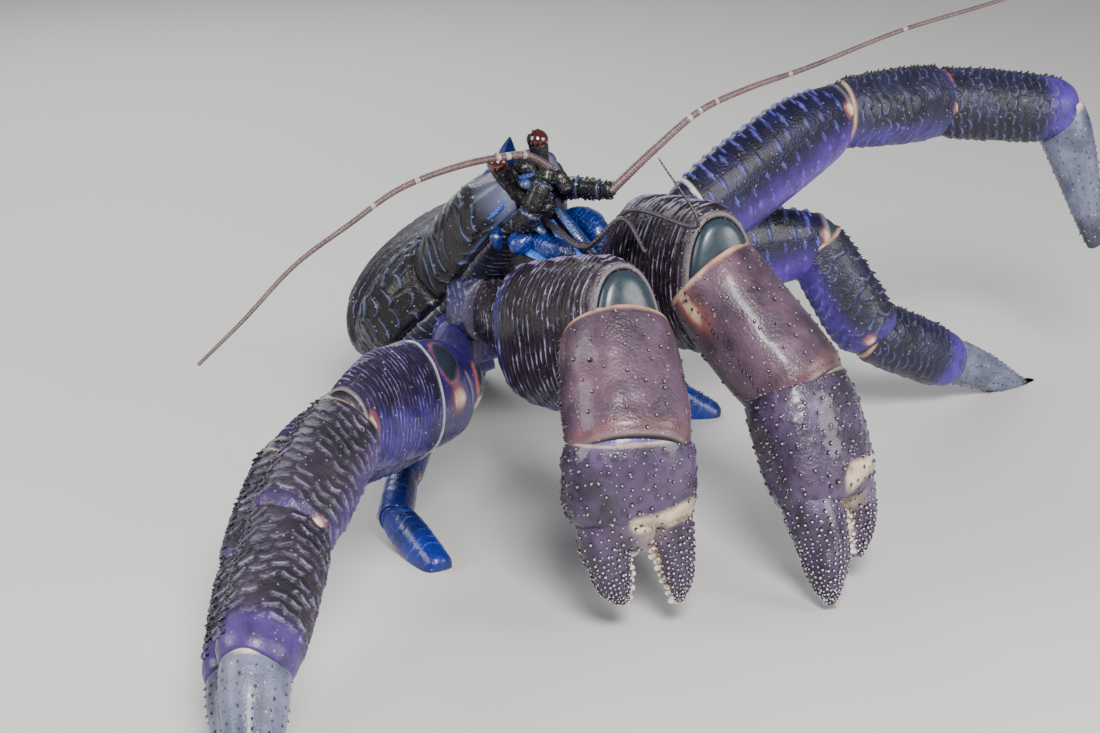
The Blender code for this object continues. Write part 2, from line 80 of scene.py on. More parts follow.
PROPODUS = ((0, .36, .26, .24), (.06, .66, .40, .38), (.18, .88, .48, .46), (.45, 1, .51, .49),
            (.75, .98, .48, .48), (.94, .94, .45, .44), (1, .80, .38, .34))
ISCHIUM = ((0, .30, .22, .20), (.08, .48, .32, .30), (.25, .60, .38, .36), (.5, .78, .44, .42),
           (.78, .97, .50, .48), (.93, 1, .50, .46), (1, .86, .44, .36))
DACTYLUS = ((0, .40, .28, .26), (.07, .80, .46, .44), (.2, 1, .52, .48), (.45, .84, .44, .42),
            (.7, .62, .32, .32), (.88, .42, .22, .22), (1, .26, .13, .13))
PALM = ((0, .34, .26, .24), (.06, .64, .40, .38), (.2, .86, .50, .46), (.45, 1, .53, .49),
        (.75, 1, .50, .48), (.93, .92, .42, .42), (1, .78, .32, .32))
# Spacings, in millimetres, of the rows that repeat along the limbs and the body.
LEG_RIDGES, CLAW_RIDGES, SMALL_RIDGES, BELLY_RIDGES, TAIL_FOLDS = 3.3, 3.9, 4.0, 2.6, 2.4
CARPUS_SCALES, PROPODUS_SCALES, CLAW_ROOT_SCALES, HIP_SCALES = 4.8, 4.6, 3.4, 3.2
HEAD_SCALES, GILL_SCALES, TAIL_SCALES = 8.0, 6.0, 4.6
LEG_COMB, CLAW_COMB, PALM_COMB, SMALL_COMB, TIP_SPINES = 3.4, 2.2, 1.5, 2.6, 3.6
WRIST_KNOBS, PALM_KNOBS, TEETH = 6.0, 4.0, 11

LIMB_SHAPES = {"ischium": ISCHIUM, "merus": MERUS, "carpus": CARPUS, "propodus": PROPODUS,
               "dactylus": DACTYLUS, "palm": PALM, "claw": PROPODUS}
CLAW_SHAPES = {"merus": CLAW_MERUS, "carpus": CLAW_CARPUS}

# Each limb: where its hip sits on the body, then its segments from the hip out, each with
# length, heading, rise, roll, half width and height.
LIMBS = {
    "leg_1_right": ((3, -32, -30), (
        ("ischium", 54, -92, -2, -8, 11, 31), ("merus", 100, -109, 11, -14, 11, 42),
        ("carpus", 58, -108, -20, -38, 12, 32), ("propodus", 62, -98, -24, -48, 12, 31),
        ("dactylus", 66, -92, -42, -48, 10, 24))),
    "leg_2_right": ((-18, -36, -30), (
        ("ischium", 44, -100, -10, -8, 10, 27), ("merus", 104, -114, 8, -14, 10, 36),
        ("carpus", 54, -101, -26, -38, 10, 29), ("propodus", 56, -92, -18, -48, 10, 27),
        ("dactylus", 58, -89, -26, -48, 8, 20))),
    "leg_1_left": ((4, 30, -30), (
        ("ischium", 56, -10, 25, 0, 11, 29), ("merus", 92, 43, 21, 6, 11, 40),
        ("carpus", 66, 40, -3, 6, 12, 31), ("propodus", 68, 25, -8, 10, 12, 30),
        ("dactylus", 66, -10, -66, 10, 10, 24))),
    "leg_2_left": ((-18, 33, -30), (
        ("ischium", 36, 4, 10, 0, 10, 28), ("merus", 86, 29, 3, 4, 10, 36),
        ("carpus", 50, 2, -58, 10, 10, 29), ("propodus", 58, 38, -25, 10, 10, 27),
        ("dactylus", 66, 40, -20, 10, 8, 20))),
    "leg_3_right": ((-42, -30, -28), (
        ("merus", 60, -101, -23, 0, 8, 22), ("carpus", 28, -95, -18, 0, 7, 18),
        ("claw", 36, -55, -22, 0, 7, 17))),
    "leg_3_left": ((-42, 29, -28), (
        ("merus", 54, 50, -30, 0, 8, 22), ("carpus", 28, 20, -45, 0, 7, 18),
        ("claw", 38, 10, -30, 0, 7, 17))),
    "claw_right": ((26, -23, -28), (
        ("ischium", 44, -60, -1, 0, 13, 36), ("merus", 60, -60, 14, 0, 18, 58),
        ("carpus", 41, -82, -45, 4, 23, 36), ("palm", 26, -84, -80, 10, 25, 33))),
    "claw_left": ((22, 24, -28), (
        ("ischium", 42, -37, 4, 0, 13, 36), ("merus", 54, -67, 8, 0, 18, 58),
        ("carpus", 50, -32, -42, 4, 21, 38), ("palm", 42, -50, -64, 10, 24, 37))),
}
# The fixed and the free finger of each claw: place beyond the palm's end, place to its side,
# half width and half height.
FINGERS = {
    "claw_right": (((-8, -4, 17, 14), (4, -5.5, 16, 13), (13, -9.5, 10.5, 10), (20, -8.5, 8, 8),
                    (29, -6, 6, 6), (35, -3, 2, 2)),
                   ((0, 13, 8.5, 9), (7, 15, 9, 10), (14, 16.5, 8, 9), (20, 17.5, 6.8, 8),
                    (28, 18.5, 5.3, 6), (36, 19, 1.8, 1.8))),
    "claw_left": (((-4, 10, 12, 14), (6, 12.5, 10, 12), (14.5, 13.8, 6.8, 9), (22, 11.5, 5, 6),
                   (29, 8, 2, 2)),
                  ((-2, -8.5, 10, 10), (4, -10.5, 11.5, 11), (12, -10.8, 11, 11),
                   (21, -11, 9.3, 10), (34, -14.5, 6.4, 7), (43, -17, 1.8, 1.8))),
}

# Body sections, tail to face: place along the body, half width, height above, depth below.
TRUNK = ((-63, 26, 10, 16), (-58, 38, 16, 24), (-42, 48, 21, 31), (-20, 51, 22, 33),
         (-4, 44, 21, 33), (7, 33, 18, 31), (14, 30, 18, 30), (36, 29, 17, 27),
         (56, 25, 13, 23), (70, 20, 9, 18), (79, 13, 5, 10))
SHELL_EDGE, NECK_GROOVE, HEART_HALF_WIDTH, SEAM = -12.0, 8.0, 17.0, 0.35
SPIKE = ((50, 4, 9, 6), (58, 8, 8, 5.5), (66, 8, 6.5, 4.5), (74, 9, 5, 3.6), (82, 11, 2.8, 2.2),
         (88, 12.5, .5, .5))
TAIL_PATH = ((-50, 118, 74), (-49, 136, 68), (-46, 164, 58), (-43, 188, 45), (-42, 202, 30),
             (-42, 206, 14), (-42, 205, 0.6))
TAIL_SIZES = ((33, 18, 20), (45, 26, 26), (48, 31, 28), (41, 30, 25), (27, 23, 20),
              (17, 14, 12), (12, 10, 9))
TAIL_PLATES = 5
EYE_ROOT, EYE_END = (75, 7, -8), (85, 10, 5)
# The middle of each red cornea, and how far round the eye it reaches.
EYE_LOOK = {"left": (0.55, -0.8, 0.1), "right": (0.0, -1.0, 0.2)}
EYE_EDGE = {"left": 0.45, "right": -0.15}
PEDUNCLES = {"left": ((70, 13, -13), (78, 15, -16), (84, 18, -22), (89, 21, -27)),
             "right": ((72, -13, -15), (84, -13, -18), (92, -7, -14), (96, 0, -9))}
WHIPS = {"left": ((24, 9, 144), (42, 19, 159), (60, 29, 172), (80, 39, 179), (101, 49, 184),
                  (144, 71, 196), (187, 90, 205), (213, 104, 211)),
         "right": ((0, -1, 156), (-9, -6, 162), (-19, -13, 163), (-38, -27, 162), (-57, -39, 157),
                   (-75, -53, 147), (-93, -65, 136), (-114, -83, 117), (-128, -93, 105))}
ANTENNULES = {"left": ((3, 17, 138), (4, 12, 136), (10, 0, 131), (18, -12, 123), (29, -20, 143),
                       (56, -42, 144), (41, -35, 168)),
              "right": ((-5, 12, 136), (-3, 8, 134), (2, -10, 134), (14, -27, 131),
                        (28, -34, 144), (36, -45, 134))}
MAXILLIPED = ((66, 10, -23), (76, 10, -29), (82, 9, -37), (81, 5, -45))
# Small parts of the face: their look, a path and the half width along it.
FACE = (
    ("blue", ((-13.4, 2.6, 127.3), (-11, -0.1, 125.6), (-8.7, 1, 122.5)),
     (4.6, 6.6, 4.6)),
    ("blue", ((-21, 5.5, 129.8), (-21.3, 2.4, 126.6), (-20.2, 3.1, 122.3)),
     (1.5, 3, 1.4)),
    ("blue", ((2.4, 5.9, 137.5), (7.9, -0, 132.1), (13.4, -4.2, 125.9), (19.6, -6.3, 119.2)),
     (2, 3, 3, 1.4)),
    ("bright", ((0.4, 1.5, 133.7), (3.9, -4.1, 129.2), (9, -7.9, 124.1), (15.7, -9.3, 119.7)),
     (1.5, 2.2, 2, 0.9)),
    ("blue", ((11.1, 11.6, 135.6), (13.5, 7.5, 132.6), (14.3, 7.2, 128.5)),
     (1.8, 2.8, 1.8)),
    ("blue", ((-4, 5.3, 132.3), (-0.4, 0.9, 128.6), (2.4, -0.5, 124.1)),
     (2.4, 3.2, 1.5)),
    ("bright", ((-12.2, 8.7, 149.4), (-9.1, 8, 150.4), (-6.3, 9.2, 150.9)),
     (0.8, 1.2, 0.8)),
    ("bright", ((-24.2, 8.6, 132.7), (-21.3, 6.5, 136.1), (-18.1, 5.5, 139.6)),
     (0.8, 1.1, 0.8)),
    ("pale", ((2.8, 2.9, 137.9), (6.3, -2.5, 134.4), (9.4, -5.6, 131.2), (12.5, -7.7, 128.1)),
     (1, 1.6, 1.6, 1)),
    ("pale", ((-11.8, 9.3, 148), (-9.5, 6, 147.6), (-7.5, 7.6, 146)),
     (1.4, 2.3, 1.4)),
    ("pale", ((-5.1, 10.2, 147.4), (-3.2, 5.7, 146.5), (-1.2, 9, 146.9)),
     (1.6, 2.5, 1.6)),
    ("pale", ((-10.7, 4.1, 135.1), (-7.1, 0.2, 132.9), (-3.5, -1.6, 130.5), (-0.4, -0, 128.9)),
     (0.9, 1.4, 1.4, 0.9)),
    ("dark", ((-12.7, 14.8, 155.2), (-9.9, 12, 153), (-7.1, 12.1, 150.1)),
     (2.6, 3.6, 2.6)),
    ("dark", ((-2.8, 6.6, 139.7), (-1.2, 4.2, 138.7), (0.4, 5.7, 136.7)),
     (2.6, 3.6, 2.6)),
    ("dark", ((1.2, 18.2, 149.4), (3.2, 14.9, 149), (5.6, 13.9, 146), (7.1, 12.1, 143.6)),
     (2, 3, 3.4, 3.6)),
)


# Places and directions

def direction(heading, rise):
    """Unit vector at a heading in degrees from +X and a rise above the floor."""
    h, r = math.radians(heading), math.radians(rise)
    return np.array((math.cos(h) * math.cos(r), math.sin(h) * math.cos(r), math.sin(r)))


def unit(v):
    """Vectors of length 1."""
    v = np.asarray(v, float)
    return v / np.maximum(np.linalg.norm(v, axis=-1, keepdims=True), 1e-9)


def turn(x_axis, roll):
    """Side and upper axes of a piece that points along x_axis and is rolled about it."""
    side = unit(np.cross((0, 0, 1), x_axis))
    upper = np.cross(x_axis, side)
    r = math.radians(roll)
    top = math.cos(r) * upper + math.sin(r) * side
    return np.cross(top, x_axis), top


def body_axes():
    """Forward, left and up of the turned, leaning and rearing body."""
    left = direction(YAW, LEAN)
    level = unit(np.cross(left, (0, 0, 1)))
    steep = np.cross(level, left)
    p = math.radians(REAR_UP)
    forward = math.cos(p) * level + math.sin(p) * steep
    return forward, left, np.cross(forward, left)


FORWARD, LEFT, UP = body_axes()


def on_body(x, y, z):
    """A point x ahead of the thorax centre, y to the crab's left and z towards its back."""
    return THORAX + x * FORWARD + y * LEFT + z * UP


def ramp(low, high, x):
    """0 below low, 1 above high, and a smooth rise between."""
    s = np.clip((np.asarray(x, float) - low) / (high - low), 0, 1)
    return s * s * (3 - 2 * s)


def curve_through(at, places, rows, loose=False):
    """Smooth values at new places; it never overshoots the table unless it is loose."""
    places, rows = np.asarray(places, float), np.asarray(rows, float)
    steps = np.diff(places)[:, None]
    slopes = np.diff(rows, axis=0) / steps
    inner = (slopes[1:] * steps[:-1] + slopes[:-1] * steps[1:]) / (steps[1:] + steps[:-1])
    if not loose:
        flat = slopes[1:] * slopes[:-1] <= 0
        least = np.minimum(np.abs(slopes[1:]), np.abs(slopes[:-1])) * 2
        inner = np.where(flat, 0, np.sign(inner) * np.minimum(np.abs(inner), least))
    tangents = np.vstack((slopes[:1], inner, slopes[-1:]))
    k = np.clip(np.searchsorted(places, at, side="right") - 1, 0, len(places) - 2)
    h = (places[k + 1] - places[k])[:, None]
    t = ((np.asarray(at) - places[k])[:, None]) / h
    return ((2 * t**3 - 3 * t**2 + 1) * rows[k] + (t**3 - 2 * t**2 + t) * h * tangents[k]
            + (3 * t**2 - 2 * t**3) * rows[k + 1] + (t**3 - t**2) * h * tangents[k + 1])


def chance(*words):
    """A random source of its own for each piece, the same on each run."""
    return np.random.default_rng(sum(ord(c) * (k + 3) for k, c in enumerate("-".join(words))))


def waves(around, rng, count=6):
    """A smooth random line round a surface, about 1 high."""
    total = 0
    for k in range(1, count + 1):
        total = total + rng.uniform(0.4, 1) / k**0.6 * np.sin(
            2 * math.pi * (k * around + rng.random()))
    return total / 1.6


# Surfaces

class Loft:
    """A lofted surface whose points can be raised and masked before it is meshed."""

    def __init__(self, places, centres, sides, tops, sizes, columns, power=2.2, keel=0.0):
        self.places, self.centres = np.asarray(places, float), centres
        self.t = self.places[:, None]
        self.angle = np.arange(columns) * 360.0 / columns
        c, s = np.cos(np.radians(self.angle)), np.sin(np.radians(self.angle))
        reach = (np.abs(c) ** power + np.abs(s) ** power) ** (-1 / power)
        width, above, below = (sizes[:, k, None] for k in range(3))
        tall = np.where(s > 0, above, below)
        pinch = 1 - keel * np.abs(s) ** 3
        self.points = (centres[:, None] + (width * c * reach * pinch)[..., None] * sides[:, None]
                       + (tall * s * reach)[..., None] * tops[:, None])
        along = np.gradient(self.points, axis=0)
        across = np.roll(self.points, -1, 1) - np.roll(self.points, 1, 1)
        normal = unit(np.cross(across, along))
        if np.sum(normal * (self.points - centres[:, None])) < 0:
            normal = -normal
        self.normal = normal
        step = np.linalg.norm(np.roll(self.points, -1, 1) - self.points, axis=2)
        walk = np.cumsum(step, axis=1)
        self.girth = walk[:, -1]
        self.around = (walk - step) / self.girth[:, None]
        self.height = np.zeros(self.points.shape[:2])
        self.masks = {name: np.zeros_like(self.height) for name in MASKS}

    def paint(self, mask, amount):
        """Raise a mask to an amount, given for all points, for each place or for each angle."""
        self.masks[mask] = np.maximum(self.masks[mask], np.clip(amount, 0, 1))

    def near(self, place, angle):
        """The row and column nearest a place and an angle; 90 degrees is the top."""
        row = int(np.argmin(np.abs(self.places - place)))
        column = int(np.argmin(np.abs((self.angle - angle + 180) % 360 - 180)))
        return row, column

    def bump(self, spot, along, around, height=0.0, mask=None, sharp=1.0, amount=1.0):
        """Raise an oval of the surface, and paint it if a mask is named."""
        row, column = self.near(*spot)
        middle = self.points[row, column]
        low, high = max(row - 1, 0), min(row + 1, len(self.places) - 1)
        way = unit(self.centres[high] - self.centres[low])
        rows = np.flatnonzero(np.abs(self.places - self.places[row]) < max(along, around) * 1.6)
        away = self.points[rows] - middle
        forth = away @ way
        beside = np.maximum((away ** 2).sum(-1) - forth ** 2, 0)
        r2 = (forth / along) ** 2 + beside / around ** 2
        shape = np.clip(1 - r2, 0, 1)
        self.height[rows] += height * shape ** (1.6 / sharp)
        if mask:
            level = np.clip(shape * 2.5 * sharp, 0, 1) * amount
            self.masks[mask][rows] = np.maximum(self.masks[mask][rows], level)

    def ridges(self, first, spacing, last, height, rng, breaks=26, wave=0.25, where=1.0,
               solid=0.25, comb=0.0):
        """Cross ridges, steep towards the tip, broken into dashes except where the comb is."""
        phase = (self.t - first) / spacing + wave * waves(self.around, rng)
        count = int((last - first) / spacing) + 3
        index = np.floor(phase).astype(int)
        share = phase - index
        table = rng.random((count + 1, breaks))
        spot = self.around * breaks + (index % 7) * 0.37
        cell = np.floor(spot).astype(int)
        blend = ramp(0, 1, spot - cell)
        line = np.clip(index, 0, count)
        dash = table[line, cell % breaks] * (1 - blend) + table[line, (cell + 1) % breaks] * blend
        dash = np.maximum(dash, comb)
        inside = ((index >= 0) & (self.t < last)) * where
        lift = share ** 1.8 * (1 - ramp(0.88, 1.0, share)) * (1 + 1.2 * comb)
        self.height += height * lift * inside * (solid + (1 - solid) * ramp(0.25, 0.6, dash))
        self.paint("dash", inside * (0.12 + 0.88 * ramp(0.46, 0.74, dash)))
        self.masks["row"] = np.where(inside > 0.02, phase, self.masks["row"])

    def scales(self, first, spacing, last, size, height, rng, where=1.0, warp=0.25, sparse=0.0,
               chevron=0.0):
        """Staggered rows of round-edged scales, each with a pale line on its outer edge."""
        v = self.around * np.round(self.girth.mean() / size)
        phase = ((self.t - first) / spacing + warp * waves(self.around, rng, 8)
                 + 0.12 * np.sin(v * 2.1) + chevron * np.abs(np.cos(np.radians(self.angle))))
        row = np.floor(phase).astype(int)
        shift = v + 0.5 * (row % 2) + 0.3 * warp * np.sin(phase * 1.7)
        cell = np.floor(shift).astype(int)
        across = shift - cell - 0.5
        share = phase - row
        luck = rng.random((64, 128))[row % 64, cell % 128]
        edge = share + 1.5 * across ** 2
        lift = np.clip(edge, 0, 1) ** 1.5 * (1 - ramp(0.84, 1.02, edge))
        inside = ((self.t > first) & (self.t < last)) * where
        keep = ramp(sparse - 0.1, sparse + 0.1, luck)
        lift *= inside * (0.5 + 0.5 * luck) * keep * (1 - ramp(0.36, 0.5, np.abs(across)))
        self.height += height * lift
        self.paint("dash", inside * keep * (0.25 + 0.75 * luck)
                   * (1 - ramp(0.32, 0.44, np.abs(across))))
        self.masks["row"] = np.where(inside > 0.02, np.clip(edge, 0, 0.99), self.masks["row"])

    def surface(self):
        """The raised points, and the normals of the smooth surface below them."""
        return self.points + self.normal * self.height[..., None]


class Piece:
    """Closed surfaces gathered into one mesh object."""

    def __init__(self, name, nodes=None):
        self.name, self.nodes = name, nodes or (name,)
        self.points, self.masks, self.corners, self.counts, self.total = [], [], [], [], 0

    def add(self, points, faces, masks):
        """Points, a list of index arrays of triangles or quads, and one mask array a name."""
        self.points.append(points)
        self.masks.append(np.column_stack([masks[name] for name in MASKS]))
        for block in faces:
            self.corners.append((block + self.total).ravel())
            self.counts.append(np.full(len(block), block.shape[1]))
        self.total += len(points)

    def add_loft(self, loft):
        """Mesh a loft, closed at both ends."""
        shape = loft.surface()
        rows, columns = shape.shape[:2]
        points = np.vstack((shape.reshape(-1, 3), shape[0].mean(0), shape[-1].mean(0)))
        grid = np.arange(rows * columns).reshape(rows, columns)
        turned = np.roll(grid, -1, axis=1)
        quads = np.stack((grid[:-1], turned[:-1], turned[1:], grid[1:]), axis=-1).reshape(-1, 4)
        first, last = rows * columns, rows * columns + 1
        near = np.stack((turned[0], grid[0], np.full(columns, first)), axis=-1)
        far = np.stack((grid[-1], turned[-1], np.full(columns, last)), axis=-1)
        sample = quads[:: max(1, len(quads) // 4000)]
        facing = np.cross(points[sample[:, 1]] - points[sample[:, 0]],
                          points[sample[:, 3]] - points[sample[:, 0]])
        if np.sum(facing * loft.normal.reshape(-1, 3)[sample[:, 0]]) < 0:
            quads, near, far = quads[:, ::-1], near[:, ::-1], far[:, ::-1]
        masks = {name: np.concatenate((m.ravel(), [m[0].mean()], [m[-1].mean()]))
                 for name, m in loft.masks.items()}
        self.add(points, [quads, near, far], masks)

    def add_studs(self, spots, outs, radii, heights, profile, lean, sides=8):
        """Closed knobs, spines or teeth, each with the rings of its profile."""
        count = len(spots)
        if not count:
            return
        axis = unit(outs + lean)
        other = unit(np.cross(axis, STUD_GUIDE))
        side = np.cross(other, axis)
        turn_round = np.arange(sides) * 2 * math.pi / sides
        wheel = (np.cos(turn_round)[None, :, None] * side[:, None]
                 + np.sin(turn_round)[None, :, None] * other[:, None])
        rings, marks = [], []
        for radius, height, paint in profile:
            centre = spots + axis * (heights * height)[:, None]
            rings.append(centre[:, None] + wheel * (radii * radius)[:, None, None])
            marks.append(paint)
        stack = np.stack(rings, axis=1)
        levels = len(profile)
        tip = spots + axis * (heights * (profile[-1][1] + 0.05 * profile[-1][0]))[:, None]
        foot = spots + axis * (heights * profile[0][1])[:, None]
        points = np.concatenate((stack.reshape(count, -1, 3), tip[:, None], foot[:, None]), axis=1)
        size = levels * sides + 2
        grid = np.arange(levels * sides).reshape(levels, sides)
        turned = np.roll(grid, -1, axis=1)
        quads = np.stack((grid[:-1], turned[:-1], turned[1:], grid[1:]), -1).reshape(-1, 4)
        cap = np.stack((grid[-1], turned[-1], np.full(sides, size - 2)), -1)
        base = np.stack((turned[0], grid[0], np.full(sides, size - 1)), -1)
        start = (np.arange(count) * size)[:, None, None]
        blocks = [(start + block).reshape(-1, block.shape[1]) for block in (quads, cap, base)]
        one = points[0]
        facing = np.cross(one[quads[:, 1]] - one[quads[:, 0]], one[quads[:, 3]] - one[quads[:, 0]])
        if np.sum(facing * (one[quads[:, 0]] - one[:-2].mean(0))) < 0:
            blocks = [block[:, ::-1] for block in blocks]
        masks = {}
        for name in MASKS:
            rows = [paint.get(name, 0.0) for paint in marks]
            values = np.concatenate((np.repeat(rows, sides), [rows[-1], rows[0]]))
            masks[name] = np.tile(values, count)
        self.add(points.reshape(-1, 3), blocks, masks)

    def build(self, finish):
        """Make the mesh object, give it its finish, and set it on the body for its nodes."""
        points = (np.vstack(self.points) - STAND_AT) * MM
        points[:, 2] = np.maximum(points[:, 2], 0)
        mesh = bpy.data.meshes.new(self.name)
        corners, counts = np.concatenate(self.corners), np.concatenate(self.counts)
        mesh.vertices.add(len(points))
        mesh.vertices.foreach_set("co", points.ravel())
        mesh.loops.add(len(corners))
        mesh.loops.foreach_set("vertex_index", corners)
        mesh.polygons.add(len(counts))
        mesh.polygons.foreach_set("loop_start", np.concatenate(([0], np.cumsum(counts)[:-1])))
        mesh.polygons.foreach_set("use_smooth", np.ones(len(counts), bool))
        mesh.update(calc_edges=True)
        values = np.vstack(self.masks)
        for k, name in enumerate(MASKS):
            if values[:, k].any():
                layer = mesh.attributes.new(name, "FLOAT", "POINT")
                layer.data.foreach_set("value", values[:, k].astype(np.float32))
        return settle(self.name, mesh, finish, self.nodes)


def settle(name, mesh, finish, nodes):
    """Make a piece's object, name its slot, and let it stand for its nodes on the body."""
    obj = add_object(name + "_shell", mesh)
    mesh.materials.clear()
    mesh.materials.append(finish)
    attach(obj, BODY)
    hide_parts(*nodes)
    return obj


# A direction that no stud points along, to turn each stud's own axes from.
STUD_GUIDE = (0.31, 0.52, 0.8)
# Stud profiles: share of the radius, share of the height, and the masks of each ring.
# The tip rings at the tops of KNOB, SPINE and GRANULE are a painted highlight, a pale glint on each point;
# on TOOTH the tip is the teeth's own pale colour.
KNOB = ((1.35, -0.5, {"knob": 0.5}), (1.15, 0.05, {"knob": 0.9}), (0.9, 0.5, {"knob": 1}),
        (0.5, 0.86, {"knob": 0.9, "tip": 0.1}), (0.22, 1.0, {"knob": 0.4, "tip": 0.5}))
BEAD = ((1.2, -0.5, {"knob": 0.7}), (1.0, 0.05, {"knob": 0.9}), (0.7, 0.6, {"knob": 0.9}),
        (0.3, 1.0, {"knob": 0.4}))
SPINE = ((1.2, -0.3, {"knob": 0.3}), (0.85, 0.1, {"knob": 0.6}), (0.55, 0.45, {"knob": 0.8}),
         (0.28, 0.8, {"knob": 0.7}), (0.07, 1.0, {"tip": 0.5}))
TOOTH = ((0.9, -0.5, {"cream": 1}), (1.0, 0.05, {"cream": 1}), (0.92, 0.45, {"cream": 1}),
         (0.62, 0.82, {"tip": 1}), (0.25, 1.0, {"tip": 1}))
GRANULE = ((1.2, -0.4, {"knob": 0.8}), (1.0, 0.1, {"knob": 0.9}), (0.75, 0.6, {"knob": 0.7}),
           (0.35, 1.0, {"tip": 0.9}))


# Limbs

class Segment:
    """One limb segment: its joint, its own axes and its sizes."""

    def __init__(self, name, kind, start, length, heading, rise, roll, half_width, height):
        self.name, self.kind, self.start, self.length = name, kind, start, length
        self.x = direction(heading, rise)
        self.y, self.z = turn(self.x, roll)
        self.half_width, self.height = half_width, height
        self.shape = LIMB_SHAPES[kind]
        if name.startswith("claw"):
            self.shape = CLAW_SHAPES.get(kind, self.shape)

    def at(self, x, y=0.0, z=0.0):
        """A point x along the segment, y to its side and z above its middle line."""
        return self.start + x * self.x + y * self.y + z * self.z


def limb_segments(name):
    """A limb's segments, each starting where the one before it ends."""
    hip, rows = LIMBS[name]
    start, segs = on_body(*hip), []
    for kind, *sizes in rows:
        seg = Segment(f"{name}_{kind}", kind, start, *sizes)
        segs.append(seg)
        start = seg.at(seg.length)
    return segs


def segment_loft(seg, fineness):
    """A segment's skin from its round root to a lip that turns inwards round the next joint."""
    last_one = seg.kind in ("dactylus", "claw")
    first = -0.28 * seg.height
    last = seg.length + (0 if last_one else 0.16) * seg.height
    rows = int((last - first) / fineness)
    share = np.linspace(0, 1, rows)
    table = np.array(seg.shape)
    shares = curve_through(share, table[:, 0], table[:, 1:])
    hook = (0.10 if seg.kind == "dactylus" else 0) * seg.length
    places = first + share * (last - first)
    drop = -hook * share ** 2
    lip_in = ((0.0, 0.98), (-0.5, 0.93), (-1.6, 0.88), (-4.0, 0.82), (-7.0, 0.7), (-8.0, 0.3))
    if last_one:
        lip_in = ((0.5, 0.9), (0.9, 0.7), (1.2, 0.4))
    extra = len(lip_in)
    places = np.concatenate((places, [last + step for step, _ in lip_in]))
    drop = np.concatenate((drop, np.full(extra, drop[-1])))
    shares = np.vstack((shares, [shares[-1] * grow for _, grow in lip_in]))
    centres = seg.start + places[:, None] * seg.x + drop[:, None] * seg.z
    sizes = shares * (seg.half_width, seg.height, seg.height)
    columns = int(2 * math.pi * math.hypot(seg.half_width, seg.height * 0.5) / 1.414 / fineness)
    count = len(places)
    leg = seg.name[:5] in ("leg_1", "leg_2") and seg.kind != "dactylus"
    loft = Loft(places, centres, np.tile(seg.y, (count, 1)), np.tile(seg.z, (count, 1)), sizes,
                columns, keel=0.22 if leg else 0.0)
    # The lip rows that turn into the opening are painted near-black: painted shade inside the joint.
    inner = np.zeros(count)
    if not last_one:
        inner[-extra + 1:] = 1
    loft.paint("inside", inner[:, None])
    loft.first, loft.last, loft.seg = first, last, seg
    return loft


def edge_share(loft, angle, spread):
    """How near each column is to one edge, from 0 to 1."""
    away = (loft.angle - angle + 180) % 360 - 180
    return np.exp(-(away / spread) ** 2)[None, :]


def staggered(rng, first, last, spacing, angles, step, jitter=0.3):
    """Places and angles of staggered rows with a little disorder."""
    found = []
    rows = max(1, int(round((last - first) / spacing)))
    for row in range(rows + 1):
        place = first + (last - first) * row / rows
        for angle in np.arange(angles[0] + (row % 2) * step / 2, angles[1], step):
            found.append((place + rng.uniform(-jitter, jitter) * spacing,
                          angle + rng.uniform(-jitter, jitter) * step))
    return found


def stud_places(loft, spots):
    """Surface points and outward ways of spots given as place and angle."""
    index = np.array([loft.near(*spot) for spot in spots])
    return loft.surface()[index[:, 0], index[:, 1]], loft.normal[index[:, 0], index[:, 1]]


def add_row(piece, loft, spots, radius, height, profile, rng, lean=0.0, sides=8):
    """Set studs on a loft at the given spots, each a little different in size."""
    spots, outs = stud_places(loft, spots)
    vary = rng.uniform(0.55, 1.3, len(spots))
    way = unit(loft.centres[-1] - loft.centres[0])
    piece.add_studs(spots, outs, radius * vary, height * vary, profile, lean * way, sides)


def dome_and_collar(loft, share, width=1.6, orange=1.0, lift=0.8):
    """The smooth slate root dome, and the pale raised collar where the rough shell starts."""
    seg = loft.seg
    place = loft.first + share * (loft.last - loft.first)
    t = loft.t + 0.8 * waves(loft.around, chance(seg.name, "collar"), 3)
    loft.paint("dome", 1 - ramp(place - 0.5, place + 0.3, t))
    band = ramp(place - 0.4, place + 0.2, t) * (1 - ramp(place + width, place + 2 * width, t))
    loft.paint("blush", band * orange)
    loft.paint("cream", band * 0.5)
    loft.height += lift * ramp(place - 0.3, place + 0.5, t)
    return place


def rough_rim(loft, rng, width=3.0):
    """The pale granular rim at the outer end of a segment."""
    t = loft.t
    edge = ramp(loft.last - width - 1.5, loft.last - width + 0.5, t + 0.6 * waves(loft.around, rng))
    loft.paint("rim", edge * (1 - loft.masks["inside"]))
    loft.height += 0.5 * edge * (1 - loft.masks["inside"])


def condyle(loft, spot, size=3.2):
    """A pale peg of the hinge, with an orange surround."""
    loft.bump(spot, size * 1.1, size * 1.7, 0.3, "blush", amount=0.5, sharp=0.7)
    loft.bump((spot[0] + 0.3 * size, spot[1]), size * 0.6, size * 1.1, 1.0, "cream", amount=0.8)


def cushion(near, bulge, mask, fineness):
    """The smooth root of the next segment that fills the opening of the one before the joint."""
    last = near.length + 0.16 * near.height
    size = np.array(near.shape[-1][1:]) * (near.half_width, near.height, near.height)
    table = np.array(((-1.6, .80), (-.5, .92), (0, .93), (.35, .89), (.65, .79), (.88, .60),
                      (1, .42)))
    steps = np.arange(-1.6, 1.0, fineness / bulge)
    grow = curve_through(steps, table[:, 0], table[:, 1:])
    places = last + steps * bulge
    centres = near.start + places[:, None] * near.x
    count, columns = len(places), 96
    loft = Loft(places, centres, np.tile(near.y, (count, 1)), np.tile(near.z, (count, 1)),
                grow * size, columns)
    if mask:
        loft.paint(mask, 1)
    return loft


# The dressing of each kind of segment: all take the piece, its loft, the side and a random source.

